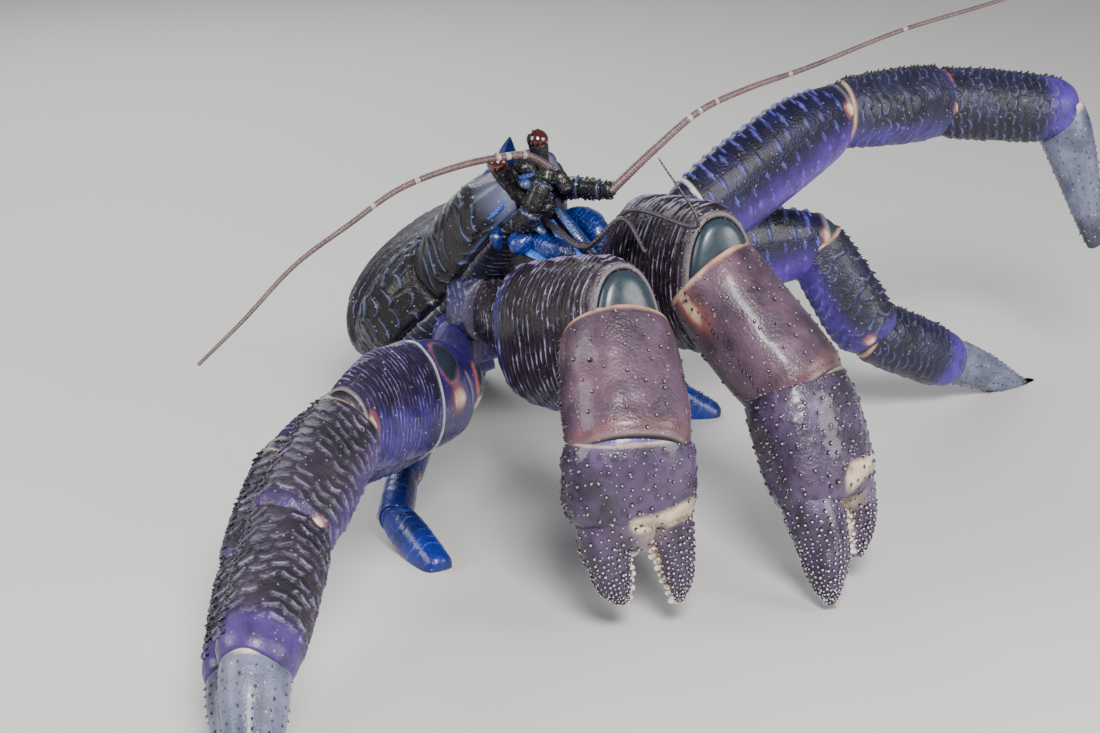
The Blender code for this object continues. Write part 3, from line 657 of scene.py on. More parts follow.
def leg_merus(piece, loft, side, rng):
    """Broken ridges, or oblong marks on the left legs, and a pale collar near the root."""
    broad = loft.seg.name == "leg_1_right_merus"
    collar = loft.first + (0.40 if broad else 0.13) * (loft.last - loft.first)
    first, last = collar + 1.5, loft.last - 4.0
    if broad:
        loft.ridges(first, LEG_RIDGES, last, 0.75, rng, 40, 0.3, comb=edge_share(loft, 90, 20))
        leg_shoulder(loft, collar)
    elif side == "left":
        add_oblongs(loft, first, last, rng)
    else:
        loft.ridges(first, LEG_RIDGES, last, 0.75, rng, 40, 0.3, comb=edge_share(loft, 90, 20))
    reach = (-0.5, 0.4) if side == "left" else (0.05, 0.6)
    low = ramp(*reach, -np.sin(np.radians(loft.angle - 20)))
    loft.paint("tint", low * ramp(first - 5, first + 12, loft.t))
    rough_rim(loft, rng, 1.0)
    t = loft.t + 1.2 * waves(loft.around, rng, 4)
    band = ramp(collar - 1.2, collar - 0.6, t) * (1 - ramp(collar + 0.3, collar + 1.1, t))
    loft.paint("tip", band * 0.6)
    loft.height += 0.7 * band
    for angle in (-10, 172):
        condyle(loft, (loft.last - (4.5 if broad else 3.5), angle), 4.4 if broad else 3.0)


def leg_shoulder(loft, end):
    """The smooth violet base of the front leg: a slate dome under an orange arch, and its peg."""
    base = 1 - ramp(end - 1, end + 1, loft.t)
    loft.paint("tint", base)
    loft.paint("smooth", base)
    for side in (0, 180):
        up, peg = (32, -8) if side == 0 else (148, 188)
        loft.bump((end - 14, up), 11.5, 10.5, 1.2, "blush", 1.5, 0.8)
        loft.bump((end - 13.5, up), 9.8, 8.6, 1.0, "dome", 2.4)
        loft.bump((end - 17, peg), 10.5, 7.0, 0.8, "blush", 0.6, 0.7)
        loft.bump((end - 18, peg), 8.0, 4.4, 0.9, "cream", 0.5, 0.9)
        for back in (13, 18, 23):
            loft.bump((end - back, peg), 0.9, 3.6, 0.5, "tip", 0.8, 0.5)
    loft.masks["blush"] *= 1 - loft.masks["dome"]


# Rows of oblong marks down the face of a leg: angle, half width and spacing.
OBLONG_ROWS = ((52, 3.6, 9.5), (27, 3.2, 10.5), (2, 2.6, 9.5), (-24, 2.2, 9.0), (-46, 1.8, 8.5))


def add_oblongs(loft, first, last, rng):
    """Rows of raised oblong marks: a pale comb on the upper edge, and scattered ones below."""
    for place in np.arange(first + 3, last, 6.4):
        loft.bump((place, 82), 0.8, 4.2, 0.9, "crest", 1.2, 0.7)
        loft.bump((place, 104), 0.8, 3.0, 0.7, "crest", 1.2, 0.6)
    for base, wide, step in OBLONG_ROWS:
        for face in (0, 1):
            for place in np.arange(first + 3 + (abs(base) % 9), last, step):
                angle = base + rng.uniform(-6, 6)
                loft.bump((place + rng.uniform(-2, 2), 180 - angle if face else angle),
                          0.9, wide * rng.uniform(0.7, 1.3), 0.35, "crest", 1.4,
                          rng.uniform(0.2, 0.7))


def leg_carpus(piece, loft, side, rng):
    """Arched scales, violet below and at the outer end."""
    start = dome_and_collar(loft, 0.17, 0.8, 0.5)
    loft.scales(start + 2.5, CARPUS_SCALES, loft.last - 2.5, 7.5, 1.1, rng, warp=0.9, sparse=0.15)
    loft.paint("tint", 0.8 * ramp(0.2, 0.8, -np.sin(np.radians(loft.angle))))
    end = ramp(loft.last - 8, loft.last - 1, loft.t)
    loft.paint("tint", 0.6 * end)
    for angle in (-14, 188):
        condyle(loft, (loft.last - 3.2, angle), 2.4)
    leg_combs(piece, loft, rng)


def leg_propodus(piece, loft, side, rng):
    """Scales in chevrons, an orange arch at the root and a smooth violet end."""
    start = dome_and_collar(loft, 0.10, 0.9, 0.6)
    reach = loft.last - loft.first
    loft.scales(start + 3, PROPODUS_SCALES, loft.last - 0.14 * reach, 6.0, 1.2, rng, warp=0.5, sparse=0.1,
                chevron=1.6)
    for angle in (50, 130):
        loft.bump((start + 2.5, angle), 2.6, 7.0, 0.6, "blush", 1.0, 0.7)
        loft.bump((start + 1.0, angle), 1.2, 4.5, 0.5, "cream", 1.0, 0.7)
    end = ramp(loft.last - 0.26 * reach, loft.last - 0.10 * reach, loft.t)
    loft.paint("tint", end)
    loft.paint("smooth", end)
    leg_combs(piece, loft, rng)


def leg_dactylus(piece, loft, side, rng):
    """A smooth grey-blue foot with lengthwise rows of fine spines and a dark tip."""
    start = dome_and_collar(loft, 0.06, 2.0, 0.2, 0.4)
    for angle in (40, 140):
        loft.bump((start + 4, angle), 2.2, 6.5, 0.7, "blush", 1.0, 0.8)
        loft.bump((start + 3, angle), 1.3, 4.5, 0.6, "cream", 1.0, 0.8)
    for angle in range(0, 360, 30):
        spots = [(place, angle + rng.uniform(-6, 6)) for place in
                 np.arange(start + 8 + rng.uniform(0, 3), loft.last - 2, TIP_SPINES)]
        add_row(piece, loft, spots, 0.45, 1.1, SPINE, rng, 0.9, sides=6)
    tip = ramp(loft.last - 26, loft.last, loft.t)
    # Here the inside colour is the foot's own dark tip, darker towards the point.
    loft.paint("inside", 0.7 * tip)


def leg_ischium(piece, loft, side, rng):
    """The smooth violet root of a walking leg, with a slate dome and a pale peg on each face."""
    loft.paint("tint", 0.9)
    loft.paint("smooth", 0.8)
    for angle in (0, 180):
        loft.bump((loft.last - 12, angle), 9.5, 8.5, 1.6, "blush", 1.5)
        loft.bump((loft.last - 12, angle), 7.5, 7.0, 1.2, "dome", 2.0)
        loft.bump((loft.last - 9, angle - 28 if angle == 0 else angle + 28), 7.5, 3.5, 1.2,
                  "cream", 1.2)
    loft.masks["blush"] *= 1 - loft.masks["dome"]
    rough_rim(loft, rng, 0.6)


def claw_ischium(piece, loft, side, rng):
    """The dark scaled root of a claw."""
    loft.scales(loft.first + 3, CLAW_ROOT_SCALES, loft.last - 3, 8.0, 0.9, rng, warp=0.8, sparse=0.1)
    loft.paint("tint", 0.9 * edge_share(loft, -60, 50))
    rough_rim(loft, rng, 0.6)


def edge_comb(piece, loft, first, last, step, rng, angle, radius, height):
    """A row of spines along one edge."""
    spots = [(place + rng.uniform(-0.2, 0.2) * step, angle + rng.uniform(-4, 4))
             for place in np.arange(first, last, step)]
    add_row(piece, loft, spots, radius, height, SPINE, rng, 0.8)


def leg_combs(piece, loft, rng):
    """Three rows of spines along the upper edge of a leg segment."""
    for angle in (90, 82, 98):
        edge_comb(piece, loft, loft.first + 0.2 * loft.seg.length, loft.last - 3, LEG_COMB, rng,
                  angle, 0.6, 1.5)


def claw_merus(piece, loft, side, rng):
    """Wavy ridges, blue below and at the root, and a granular rim round the wrist."""
    first, last = loft.first + 0.10 * loft.seg.length, loft.last - 3.5
    loft.ridges(first, CLAW_RIDGES, last, 1.0, rng, 44, 0.45, comb=edge_share(loft, 90, 16))
    rough_rim(loft, rng, 2.2)
    loft.paint("tint", 1 - ramp(first, first + 14, loft.t))
    loft.paint("tint", 0.8 * edge_share(loft, -90, 34))
    grains = [(loft.last - rng.uniform(0.2, 2.6), angle + rng.uniform(-2, 2))
              for angle in np.arange(0, 360, 3.2)]
    add_row(piece, loft, grains, 0.5, 0.5, KNOB, rng, sides=6)
    for angle in (-24, 204):
        condyle(loft, (loft.last - 3.5, angle), 4.0)


def claw_carpus(piece, loft, side, rng):
    """Sparse knobs on a faintly dented shell, with an orange root and a black outer lip."""
    start = dome_and_collar(loft, 0.10, 1.3, 1.0, 1.0)
    spots = staggered(rng, start + 5, loft.last - 4, WRIST_KNOBS, (0, 360), 20, 0.45)
    keep = [spot for spot in spots if rng.random() > 0.3]
    add_row(piece, loft, keep, 0.62, 0.7, KNOB, rng)
    for angle in (184, -4):
        edge_comb(piece, loft, start + 3, loft.last - 2, CLAW_COMB, rng, angle, 0.6, 1.2)
    rough_rim(loft, rng, 0.8)
    for _ in range(26):
        loft.bump((rng.uniform(start + 6, loft.last - 4), rng.uniform(0, 360)),
                  rng.uniform(4, 9), rng.uniform(3, 7), rng.uniform(-0.7, 0.6))
    loft.paint("blush", 0.16 * ramp(loft.last - 10, loft.last - 3, loft.t))
    strip = edge_share(loft, 190, 13) * (1 - ramp(start + 10, start + 26, loft.t))
    strip = strip * ramp(start - 0.5, start + 0.5, loft.t)
    loft.paint("blush", 0.8 * strip)
    loft.paint("cream", 0.75 * ramp(0.55, 0.95, strip))
    # Painted shade: the outer lip goes near-black where it meets the palm.
    loft.paint("inside", ramp(loft.last - 0.9, loft.last - 0.4, loft.t))
    for angle in (-8, 188):
        condyle(loft, (loft.last - 3.0, angle), 3.4)


def claw_palm(piece, loft, side, rng):
    """Rows of knobs behind a pale line, and the pale patch between the fingers."""
    start = dome_and_collar(loft, 0.09, 0.8, 0.0, 0.5)
    band = ramp(start, start + 1, loft.t) * (1 - ramp(start + 3.5, start + 4.5, loft.t))
    loft.paint("tint", band)
    loft.paint("smooth", band)
    line = start + 5.0
    t = loft.t + 0.7 * waves(loft.around, rng, 3)
    loft.paint("cream", 0.6 * ramp(line - 0.6, line, t) * (1 - ramp(line + 0.5, line + 1.3, t)))
    spots = staggered(rng, line + 2.5, loft.last - 1, PALM_KNOBS, (0, 360), 13, 0.34)
    add_row(piece, loft, spots, 0.72, 0.75, KNOB, rng)
    for spot in spots:
        if rng.random() < 0.6:
            loft.bump((spot[0] + 1, spot[1]), 1.8, 1.6, 0.35, "knob", 1.0, 0.4)
    for angle in (0, 180):
        edge_comb(piece, loft, line + 2, loft.last - 1, PALM_COMB, rng, angle, 0.5, 1.1)
    for _ in range(14):
        loft.bump((rng.uniform(line + 4, loft.last - 4), rng.uniform(0, 360)),
                  rng.uniform(5, 9), rng.uniform(4, 8), rng.uniform(-0.6, 0.6))
    paint_patch(loft, loft.seg, f"claw_{side}")


# The two ends of the pale band round each finger gap: place beyond the palm's end, and to its side.
PATCH_ENDS = {"claw_right": ((4, 0), (-1, 24)), "claw_left": ((-1, -2), (-6, 21))}


def paint_patch(loft, palm, name):
    """Paint the pale band between a claw's fingers on any loft that it crosses."""
    flat = (loft.points - palm.at(palm.length)) @ np.column_stack((palm.x, palm.y))
    start, end = np.array(PATCH_ENDS[name], float)
    way = end - start
    share = np.clip((flat - start) @ way / (way @ way), 0, 1)
    gap = np.linalg.norm(flat - start - share[..., None] * way, axis=2)
    ragged = 1.3 * waves(loft.around, chance(name, "patch"), 7)
    loft.paint("cream", 0.95 * (1 - ramp(2.2, 5.0, gap + ragged)))


LEG_DRESS = {"merus": leg_merus, "carpus": leg_carpus, "propodus": leg_propodus,
             "dactylus": leg_dactylus, "ischium": leg_ischium}
CLAW_DRESS = {"merus": claw_merus, "carpus": claw_carpus, "palm": claw_palm,
              "ischium": claw_ischium}


def path_loft(path, sizes, top_hint, fineness, columns, power=2.2, ends=0.8, loose=True):
    """A loft along a curved path, with rounded ends."""
    path, sizes = np.asarray(path, float), np.asarray(sizes, float)
    if sizes.ndim == 1:
        sizes = np.column_stack((sizes, sizes, sizes))
    walk = np.concatenate(([0], np.cumsum(np.linalg.norm(np.diff(path, axis=0), axis=1))))
    rows = max(8, int(walk[-1] / fineness))
    places = np.linspace(0, walk[-1], rows)
    centres = curve_through(places, walk, path, loose)
    widths = curve_through(places, walk, sizes)
    forward = unit(np.gradient(centres, axis=0))
    cap = np.array(((0.12, 0.97), (0.3, 0.85), (0.42, 0.65), (0.5, 0.35)))
    for sign, at in ((-1, 0), (1, -1)):
        reach = ends * widths[at].min() * 2
        order = cap if sign > 0 else cap[::-1]
        more = centres[at] + sign * (order[:, :1] * reach) * forward[at]
        grown = widths[at] * order[:, 1:]
        steps = places[at] + sign * order[:, 0] * reach
        frames = np.tile(forward[at], (len(order), 1))
        join = (lambda a, b: np.concatenate((b, a))) if sign < 0 else (
            lambda a, b: np.concatenate((a, b)))
        centres, widths, places, forward = (join(centres, more), join(widths, grown),
                                            join(places, steps), join(forward, frames))
    sides = unit(np.cross(top_hint, forward))
    tops = np.cross(forward, sides)
    loft = Loft(places, centres, sides, tops, widths, columns, power)
    loft.first, loft.last = places[0], places[-1]
    return loft


def finger_lofts(name, palm):
    """The fixed and the free finger of a claw."""
    return [path_loft([palm.at(palm.length + x, y) for x, y, *_ in rows],
                      [(wide, high, high) for *_, wide, high in rows], palm.z, 0.6, 96, ends=0.5)
            for rows in FINGERS[name]]


def dress_finger(piece, loft, rng, teeth_angle, start, pale):
    """Rows of granules that thicken towards the tip, and blunt teeth on the inner edge."""
    reach = loft.last - start
    for angle in range(0, 360, 15):
        if abs((angle - teeth_angle + 180) % 360 - 180) < 28:
            continue
        place, spots = start + rng.uniform(0, 3), []
        while place < loft.last - 1:
            spots.append((place, angle + rng.uniform(-4, 4)))
            place += 3.2 - 1.9 * (place - start) / reach
        add_row(piece, loft, spots, 0.62, 0.85, GRANULE, rng, 0.3, sides=7)
    teeth = np.linspace(start + 0.16 * reach, loft.last - 1.8, TEETH)
    spots = [(place, teeth_angle + rng.uniform(-6, 6)) for place in teeth]
    add_row(piece, loft, spots, 1.45, 2.3, TOOTH, rng, 0.15, sides=10)
    spots = [(place + rng.uniform(-1, 2), teeth_angle + sign * rng.uniform(14, 22))
             for place in teeth for sign in (-1, 1)]
    add_row(piece, loft, spots, 0.8, 1.2, TOOTH, rng, 0.15)
    t = loft.t
    edge = edge_share(loft, teeth_angle, 50)
    loft.paint("cream", pale * (1 - ramp(start, start + 0.35 * reach, t)) * edge)
    loft.paint("cream", 0.8 * edge_share(loft, teeth_angle, 22) * ramp(start, start + 3, t))
    loft.paint("knob", 0.45 * ramp(start, loft.last, t) * (1 - edge))


# The finish of each kind of segment.
CLAW_FINISH = {"ischium": "claw_arm", "merus": "claw_arm", "carpus": "claw", "palm": "claw_hand"}
LEG_FINISH = {
    "left": {"ischium": "leg", "merus": "leg_bright", "carpus": "leg_dark",
             "propodus": "leg_dark", "dactylus": "leg_tip"},
    "right": {"ischium": "leg", "merus": "leg", "carpus": "leg_end", "propodus": "leg_end",
              "dactylus": "leg_tip"},
}


def limb_style(name, kind):
    """The dressing, the finish and the material slot of one kind of segment of a limb."""
    if name.startswith("leg_3"):
        return small_leg, "blue", "blue_shell"
    if name.startswith("claw"):
        return CLAW_DRESS[kind], CLAW_FINISH[kind], "claw_shell"
    return LEG_DRESS[kind], LEG_FINISH[name.split("_")[-1]][kind], "leg_shell"


def joint_cushion(before, kind, is_claw, fineness):
    """The cushion between one segment and the next, which is of the given kind."""
    # A palm's cushion is painted near-black: painted shade in the gap between wrist and palm.
    if kind == "palm":
        return cushion(before, 1.2, "inside", fineness)
    return cushion(before, 0.085 * before.height, "dome" if is_claw else None, fineness)


def build_limb(name, sizes):
    """All visible pieces of one limb."""
    fineness, before = sizes.fineness / MM, None
    for seg in limb_segments(name):
        dress, key, slot = limb_style(name, seg.kind)
        loft = segment_loft(seg, fineness * (1.25 if seg.kind == "ischium" else 1.0))
        piece = Piece(seg.name)
        dress(piece, loft, name.split("_")[-1], chance(seg.name))
        piece.add_loft(loft)
        if before:
            piece.add_loft(joint_cushion(before, seg.kind, name.startswith("claw"), fineness / 2))
        if seg.kind == "palm":
            add_fingers(name, piece, seg)
        piece.build(FINISH[key])
        before = seg


def add_fingers(name, piece, palm):
    """The fixed finger on the palm's piece, and the free finger as a piece of its own."""
    fixed, free = finger_lofts(name, palm)
    fixed_rows, free_rows = FINGERS[name]
    rng = chance(name, "fingers")
    towards = 0 if free_rows[-1][1] > fixed_rows[-1][1] else 180
    dress_finger(piece, fixed, rng, towards, 10, 0.9)
    paint_patch(fixed, palm, name)
    paint_patch(free, palm, name)
    piece.add_loft(fixed)
    finger = Piece(f"{name}_finger")
    dress_finger(finger, free, rng, 180 - towards, 4, 0.6)
    finger.add_loft(free)
    finger.build(FINISH["claw_hand"])


def small_leg(piece, loft, side, rng):
    """A slim blue leg with a few pale joints."""
    loft.paint("smooth", 0.5)
    loft.ridges(loft.first + 8, SMALL_RIDGES, loft.last - 6, 0.3, rng, 20)
    if loft.seg.kind != "claw":
        for angle in (0, 180):
            condyle(loft, (loft.last - 3.0, angle), 1.8)
    for angle in (90, -90):
        edge_comb(piece, loft, loft.first + 8, loft.last - 2, SMALL_COMB, rng, angle, 0.3, 1.3)


# Body

def body_loft(fineness):
    """The trunk in one piece, from the tail end to the blunt face."""
    table = np.array(TRUNK, float)
    places = np.arange(table[0, 0], table[-1, 0], fineness)
    sizes = curve_through(places, table[:, 0], table[:, 1:])
    cap = ((0.8, .94), (1.4, .84), (1.9, .66), (2.2, .4))
    places = np.concatenate((places, [table[-1, 0] + step for step, _ in cap]))
    sizes = np.vstack((sizes, [table[-1, 1:] * grow for _, grow in cap]))
    count = len(places)
    centres = np.array([on_body(x, 0, 0) for x in places])
    columns = int(250 / fineness)
    return Loft(places, centres, np.tile(LEFT, (count, 1)), np.tile(UP, (count, 1)), sizes,
                columns, power=2.17)


def dress_body(loft, rng):
    """Growth lines on the head, scales on the gill covers, fine ridges below the shell edge."""
    away = loft.points - loft.centres[:, None]
    y, z = away @ LEFT, away @ UP
    x = loft.t
    top = ramp(SHELL_EDGE - 2, SHELL_EDGE, z)
    head = ramp(NECK_GROOVE - 1, NECK_GROOVE + 2, x) * top
    uneven = 2.5 * waves(loft.around, rng, 14)
    cheek = (ramp(69, 72, x + uneven) * ramp(8, 12, np.abs(y)) * (1 - ramp(4, 9, z)) * top)
    gill = (1 - ramp(NECK_GROOVE - 2, NECK_GROOVE, x)) * top
    loft.scales(NECK_GROOVE + 2, HEAD_SCALES, 78, 17.0, 1.3, rng, where=head * (1 - cheek), warp=1.9,
                sparse=0.2)
    loft.scales(-60, GILL_SCALES, NECK_GROOVE - 1, 8.0, 1.3, rng, where=gill, warp=1.0)
    below = 1 - ramp(SHELL_EDGE - 1.5, SHELL_EDGE + 0.5, z)
    loft.ridges(-58, BELLY_RIDGES, 74, 0.7, rng, 60, 0.8, where=below * 0.9)
    loft.paint("smooth", cheek)
    loft.paint("rim", cheek * ramp(64, 82, x) * (0.8 + 0.2 * waves(loft.around, rng, 12)))
    loft.paint("crest", 0.8 * np.exp(-((z - SHELL_EDGE - 1.6) / 0.7) ** 2) * ramp(30, 55, x))
    seams = np.minimum(np.abs(x - NECK_GROOVE) + 40 * (z < SHELL_EDGE), np.abs(z - SHELL_EDGE))
    ribs = np.where(x < NECK_GROOVE, np.abs(np.abs(y) - HEART_HALF_WIDTH) + 40 * (z < 0), 40)
    loft.height -= 1.5 * np.exp(-(np.minimum(seams, ribs) / 1.3) ** 2)
    bulge = np.exp(-((x - 58) / 12) ** 2 - ((np.abs(y) - 16) / 8) ** 2 - ((z - 6) / 9) ** 2)
    loft.height += 2.2 * bulge
    socket = np.exp(-((x - 77) / 5) ** 2 - ((np.abs(y) - 7.5) / 4) ** 2 - ((z + 2) / 5) ** 2)
    loft.height -= 2.2 * socket


def slice_mesh(mesh, point, normal):
    """Keep what lies behind a plane of the design frame, and close the cut."""
    work = bmesh.new()
    work.from_mesh(mesh)
    place = Vector((np.asarray(point) - STAND_AT) * MM)
    cut = bmesh.ops.bisect_plane(work, geom=work.verts[:] + work.edges[:] + work.faces[:],
                                 plane_co=place, plane_no=Vector(normal), clear_outer=True)
    rim = [e for e in cut["geom_cut"] if isinstance(e, bmesh.types.BMEdge)]
    bmesh.ops.edgeloop_fill(work, edges=rim)
    bmesh.ops.triangulate(work, faces=[f for f in work.faces if len(f.verts) > 4])
    work.to_mesh(mesh)
    work.free()


def part_mesh(mesh, point, normal):
    """Part a mesh by a thin plane: it keeps the near side, and the far side is returned."""
    far = mesh.copy()
    half = np.asarray(normal) * SEAM / 2
    slice_mesh(mesh, np.asarray(point) - half, normal)
    slice_mesh(far, np.asarray(point) + half, -np.asarray(normal))
    return far


def hip_loft(name):
    """The scaled ring on the underside that a limb springs from."""
    seg = limb_segments(name)[0]
    x, y, _ = LIMBS[name][0]
    size = np.array((seg.half_width * 0.97, seg.height * 0.42, seg.height * 0.42))
    path = (on_body(x * 0.9, y * 0.35, -32), seg.at(-0.25 * seg.height), seg.at(2))
    loft = path_loft(path, (size, size, 0.92 * size), seg.z, 0.9, 90, ends=0.1)
    loft.scales(loft.last - 26, HIP_SCALES, loft.last - 3, 7.0, 0.8, chance(name, "hip"), warp=0.8)
    loft.paint("tint", 0.15 if name.startswith("claw") else 0.6)
    loft.paint("rim", 0.35 * ramp(loft.last - 2.5, loft.last - 1.5, loft.t))
    return loft


def build_body(sizes):
    """The shell plates and the underside."""
    whole = Piece("head_shield")
    loft = body_loft(sizes.fineness / MM)
    dress_body(loft, chance("trunk"))
    whole.add_loft(loft)
    shell = whole.build(FINISH["shield"])
    under = part_mesh(shell.data, on_body(0, 0, SHELL_EDGE), -UP)
    rear = part_mesh(shell.data, on_body(NECK_GROOVE, 0, 0), -FORWARD)
    left = part_mesh(rear, on_body(0, HEART_HALF_WIDTH, 0), LEFT)
    right = part_mesh(rear, on_body(0, -HEART_HALF_WIDTH, 0), -LEFT)
    for name, mesh in (("heart_shield", rear), ("gill_cover_left", left),
                       ("gill_cover_right", right), ("thorax_underside", under)):
        below = mesh is under
        settle(name, mesh, FINISH["under" if below else "shield"],
               (name,))
    hips = Piece("hip_rings", ("thorax_underside",))
    for name in LIMBS:
        hips.add_loft(hip_loft(name))
    hips.build(FINISH["under"])
    table = np.array(SPIKE, float)
    path = [on_body(x, 0, z) for x, z in table[:, :2]]
    loft = path_loft(path, [(w, h, h) for w, h in table[:, 2:]], UP, 0.5, 48, ends=0.2)
    spike = Piece("head_spike", ("head_shield",))
    loft.paint("smooth", 1)
    spike.add_loft(loft)
    spike.build(FINISH["blue"])


def build_tail(sizes):
    """Overlapping plates on the back of the tail, wrinkled skin below."""
    loft = path_loft(TAIL_PATH, TAIL_SIZES, UP, sizes.fineness / MM * 1.4, 190, ends=0.15)
    rng = chance("tail")
    reach = loft.last - loft.first
    t = (loft.t - loft.first) / reach
    back = ramp(-0.25, 0.15, np.sin(np.radians(loft.angle)))[None, :]
    phase = t * (TAIL_PLATES + 1.2) + 0.05 * waves(loft.around, rng, 4)
    share = phase - np.floor(phase)
    loft.height += back * (1.2 + 1.8 * share ** 1.4) * (1 - ramp(0.93, 1.0, share))
    loft.paint("crest", 0.6 * back * ramp(0.86, 0.9, share) * (1 - ramp(0.93, 0.97, share)))
    loft.paint("tint", 1 - back)
    loft.scales(loft.first + 4, TAIL_SCALES, loft.last - 6, 7.0, 0.7, rng, where=back, warp=0.5, sparse=0.2)
    loft.ridges(loft.first + 4, TAIL_FOLDS, loft.last - 2, 0.8, rng, 24, 1.2, where=1 - back, solid=0.6)
    piece = Piece("abdomen")
    piece.add_loft(loft)
    piece.build(FINISH["tail"])


# Face

def build_eyes():
    """Both eye stalks, and the corneas with their dark edge."""
    for side, sign in (("left", 1), ("right", -1)):
        rng = chance("eye", side)
        root = on_body(EYE_ROOT[0], sign * EYE_ROOT[1], EYE_ROOT[2])
        end = on_body(EYE_END[0], sign * EYE_END[1], EYE_END[2])
        along = unit(end - root)
        path = [root - 3 * along, root, (root + end) / 2, end, end + 1.5 * along]
        stalk = path_loft(path, (3, 3.5, 3.2, 3.9, 3.6), LEFT, 0.3, 48, ends=0.2)
        for _ in range(60):
            stalk.bump((rng.uniform(0, stalk.last), rng.uniform(0, 360)), 0.8, 0.6, 0.25)
        piece = Piece(f"eyestalk_{side}")
        piece.add_loft(stalk)
        piece.build(FINISH["stalk"])
        path = [end + along * t for t in (-1.0, 0.5, 2.0, 3.6, 5.2, 6.0)]
        ball = path_loft(path, (3.4, 4.0, 4.3, 3.9, 2.7, 1.4), LEFT, 0.25, 64, ends=0.4)
        ball.paint("rim", 1 - ramp(0.6, 1.2, ball.t))
        facing = ball.normal @ unit(EYE_LOOK[side])
        ball.paint("rim", 1 - ramp(EYE_EDGE[side] - 0.05, EYE_EDGE[side] + 0.05, facing))
        piece = Piece(f"eye_{side}")
        piece.add_loft(ball)
        piece.build(FINISH["eye"])


def build_antennae():
    """The beaded bases of both antennae, and their ringed whips."""
    for side in ("left", "right"):
        rng = chance("antenna", side)
        path = [on_body(*p) for p in PEDUNCLES[side]]
        loft = path_loft(path, (3.4, 4.3, 4.0, 3.2), UP, 0.4, 64, ends=0.4)
        third = (loft.last - loft.first) / 3
        share = ((loft.t - loft.first) / third) % 1
        loft.height -= 1.0 * np.exp(-((share - 0.5) / 0.07) ** 2)
        loft.paint("rim", 0.8 * np.exp(-((share - 0.4) / 0.03) ** 2))
        piece = Piece(f"antenna_base_{side}")
        spots = staggered(rng, loft.first + 1, loft.last - 1, 1.8, (0, 360), 24)
        add_row(piece, loft, spots, 0.5, 0.7, BEAD, rng, 0.5, sides=6)
        piece.add_loft(loft)
        piece.build(FINISH["stalk"])
        points = WHIPS[side]
        radii = [1.7 - 1.2 * (k / (len(points) - 1)) ** 0.8 for k in range(len(points))]
        whip = path_loft(points, radii, (0.1, 0.2, 1), 0.32, 16, ends=0.5)
        ring = (whip.t / 1.15) % 1
        whip.height += 0.22 * np.sin(ring * math.pi) ** 0.7
        whip.paint("crest", ramp(0.25, 0.45, ring) * (1 - ramp(0.6, 0.8, ring)))
        for _ in range(5):
            spot = rng.uniform(4, 0.8 * whip.last)
            whip.paint("tint", 1.0 * (np.abs(whip.t - spot) < 0.9))
        piece = Piece(f"antenna_whip_{side}")
        piece.add_loft(whip)
        piece.build(FINISH["feeler"])


def build_mouth():
    """The antennules and the third mouth limbs."""
    for side, sign in (("left", 1), ("right", -1)):
        points = ANTENNULES[side]
        radii = (1.4, 1.4, 1.3, 1.2, 1.0, 0.7, 0.3)[:len(points)]
        loft = path_loft(points, radii, (0.1, 0.2, 1), 0.4, 24, ends=0.4)
        loft.height += 0.12 * np.sin(loft.t * 5.2)
        piece = Piece(f"antennule_{side}")
        piece.add_loft(loft)
        piece.build(FINISH["feeler_dark"])
        path = [on_body(x, sign * y, z) for x, y, z in MAXILLIPED]
        loft = path_loft(path, (4.2, 5.4, 4.8, 2.6), UP, 0.4, 64, ends=0.6)
        rng = chance("jaw", side)
        loft.scales(2, 1.8, loft.last - 2, 3.0, 0.3, rng, warp=0.6)
        piece = Piece(f"maxilliped_{side}")
        piece.add_loft(loft)
        piece.build(FINISH["face_blue"])


def build_face():
    """The plates, scales and ruffles of the face below and between the eyes."""
    for look in ("blue", "bright", "pale", "dark"):
        rng = chance("face", look)
        nodes = ("maxilliped_left", "maxilliped_right") if look == "blue" else ("head_shield",)
        piece = Piece("face_" + look, nodes)
        for kind, path, radii in FACE:
            if kind != look:
                continue
            loft = path_loft(path, [(0.85 * r, 0.5 * r, 0.5 * r) for r in radii],
                             (0.1, -0.9, 0.4), 0.3, 56, ends=0.5)
            if look == "dark":
                for angle in (0, 180):
                    loft.paint("rim", edge_share(loft, angle, 16))
            if look in ("pale", "dark"):
                spots = staggered(rng, loft.first + 1, loft.last - 1, 1.3, (0, 360), 24)
                add_row(piece, loft, spots, 0.3, 0.4, BEAD, rng, 0.2, sides=6)
            else:
                loft.scales(loft.first, 1.5, loft.last, 2.2, 0.25, rng, warp=0.4)
            piece.add_loft(loft)
        if look == "bright":
            add_ruffles(piece, rng)
        piece.build(FINISH["stalk" if look == "dark" else "face_" + look])


def add_ruffles(piece, rng):
    """A frill of small blue blades under the face, from one mouth limb round to the other."""
    for k, share in enumerate(np.linspace(0, 1, 15)):
        root = on_body(71, 17 - 34 * share, -24 - 7 * math.sin(math.pi * share))
        tip = on_body(80 + rng.uniform(-2, 2), 15 - 30 * share + rng.uniform(-2, 2),
                      -36 - 9 * math.sin(math.pi * share) + rng.uniform(-2, 2))
        middle = (root + tip) / 2 + rng.uniform(0.5, 2.0) * FORWARD
        blade = path_loft((root, middle, tip), ((1.6, 0.7, 0.7), (2.0, 0.8, 0.8), (0.5, 0.4, 0.4)),
                          FORWARD, 0.4, 28, ends=0.4)
        blade.ridges(blade.first, 1.1, blade.last, 0.12, rng, 6, 0.4)
        if k % 3 == 0:
            blade.paint("crest", 0.7 * edge_share(blade, 0, 20))
        piece.add_loft(blade)


# Finishes

FINISH = {}


def linear(red, green, blue):
    """A screen colour, 0 to 255, as the shader's linear colour."""
    return tuple((c / 255 / 12.92) if c < 10.3 else ((c / 255 + 0.055) / 1.055) ** 2.4
                 for c in (red, green, blue))


def group_socket(group, name, kind, way, value=None):
    """A new socket on the outside of a node group."""
    socket = group.interface.new_socket(name=name, in_out=way, socket_type=kind)
    if value is not None:
        socket.default_value = value


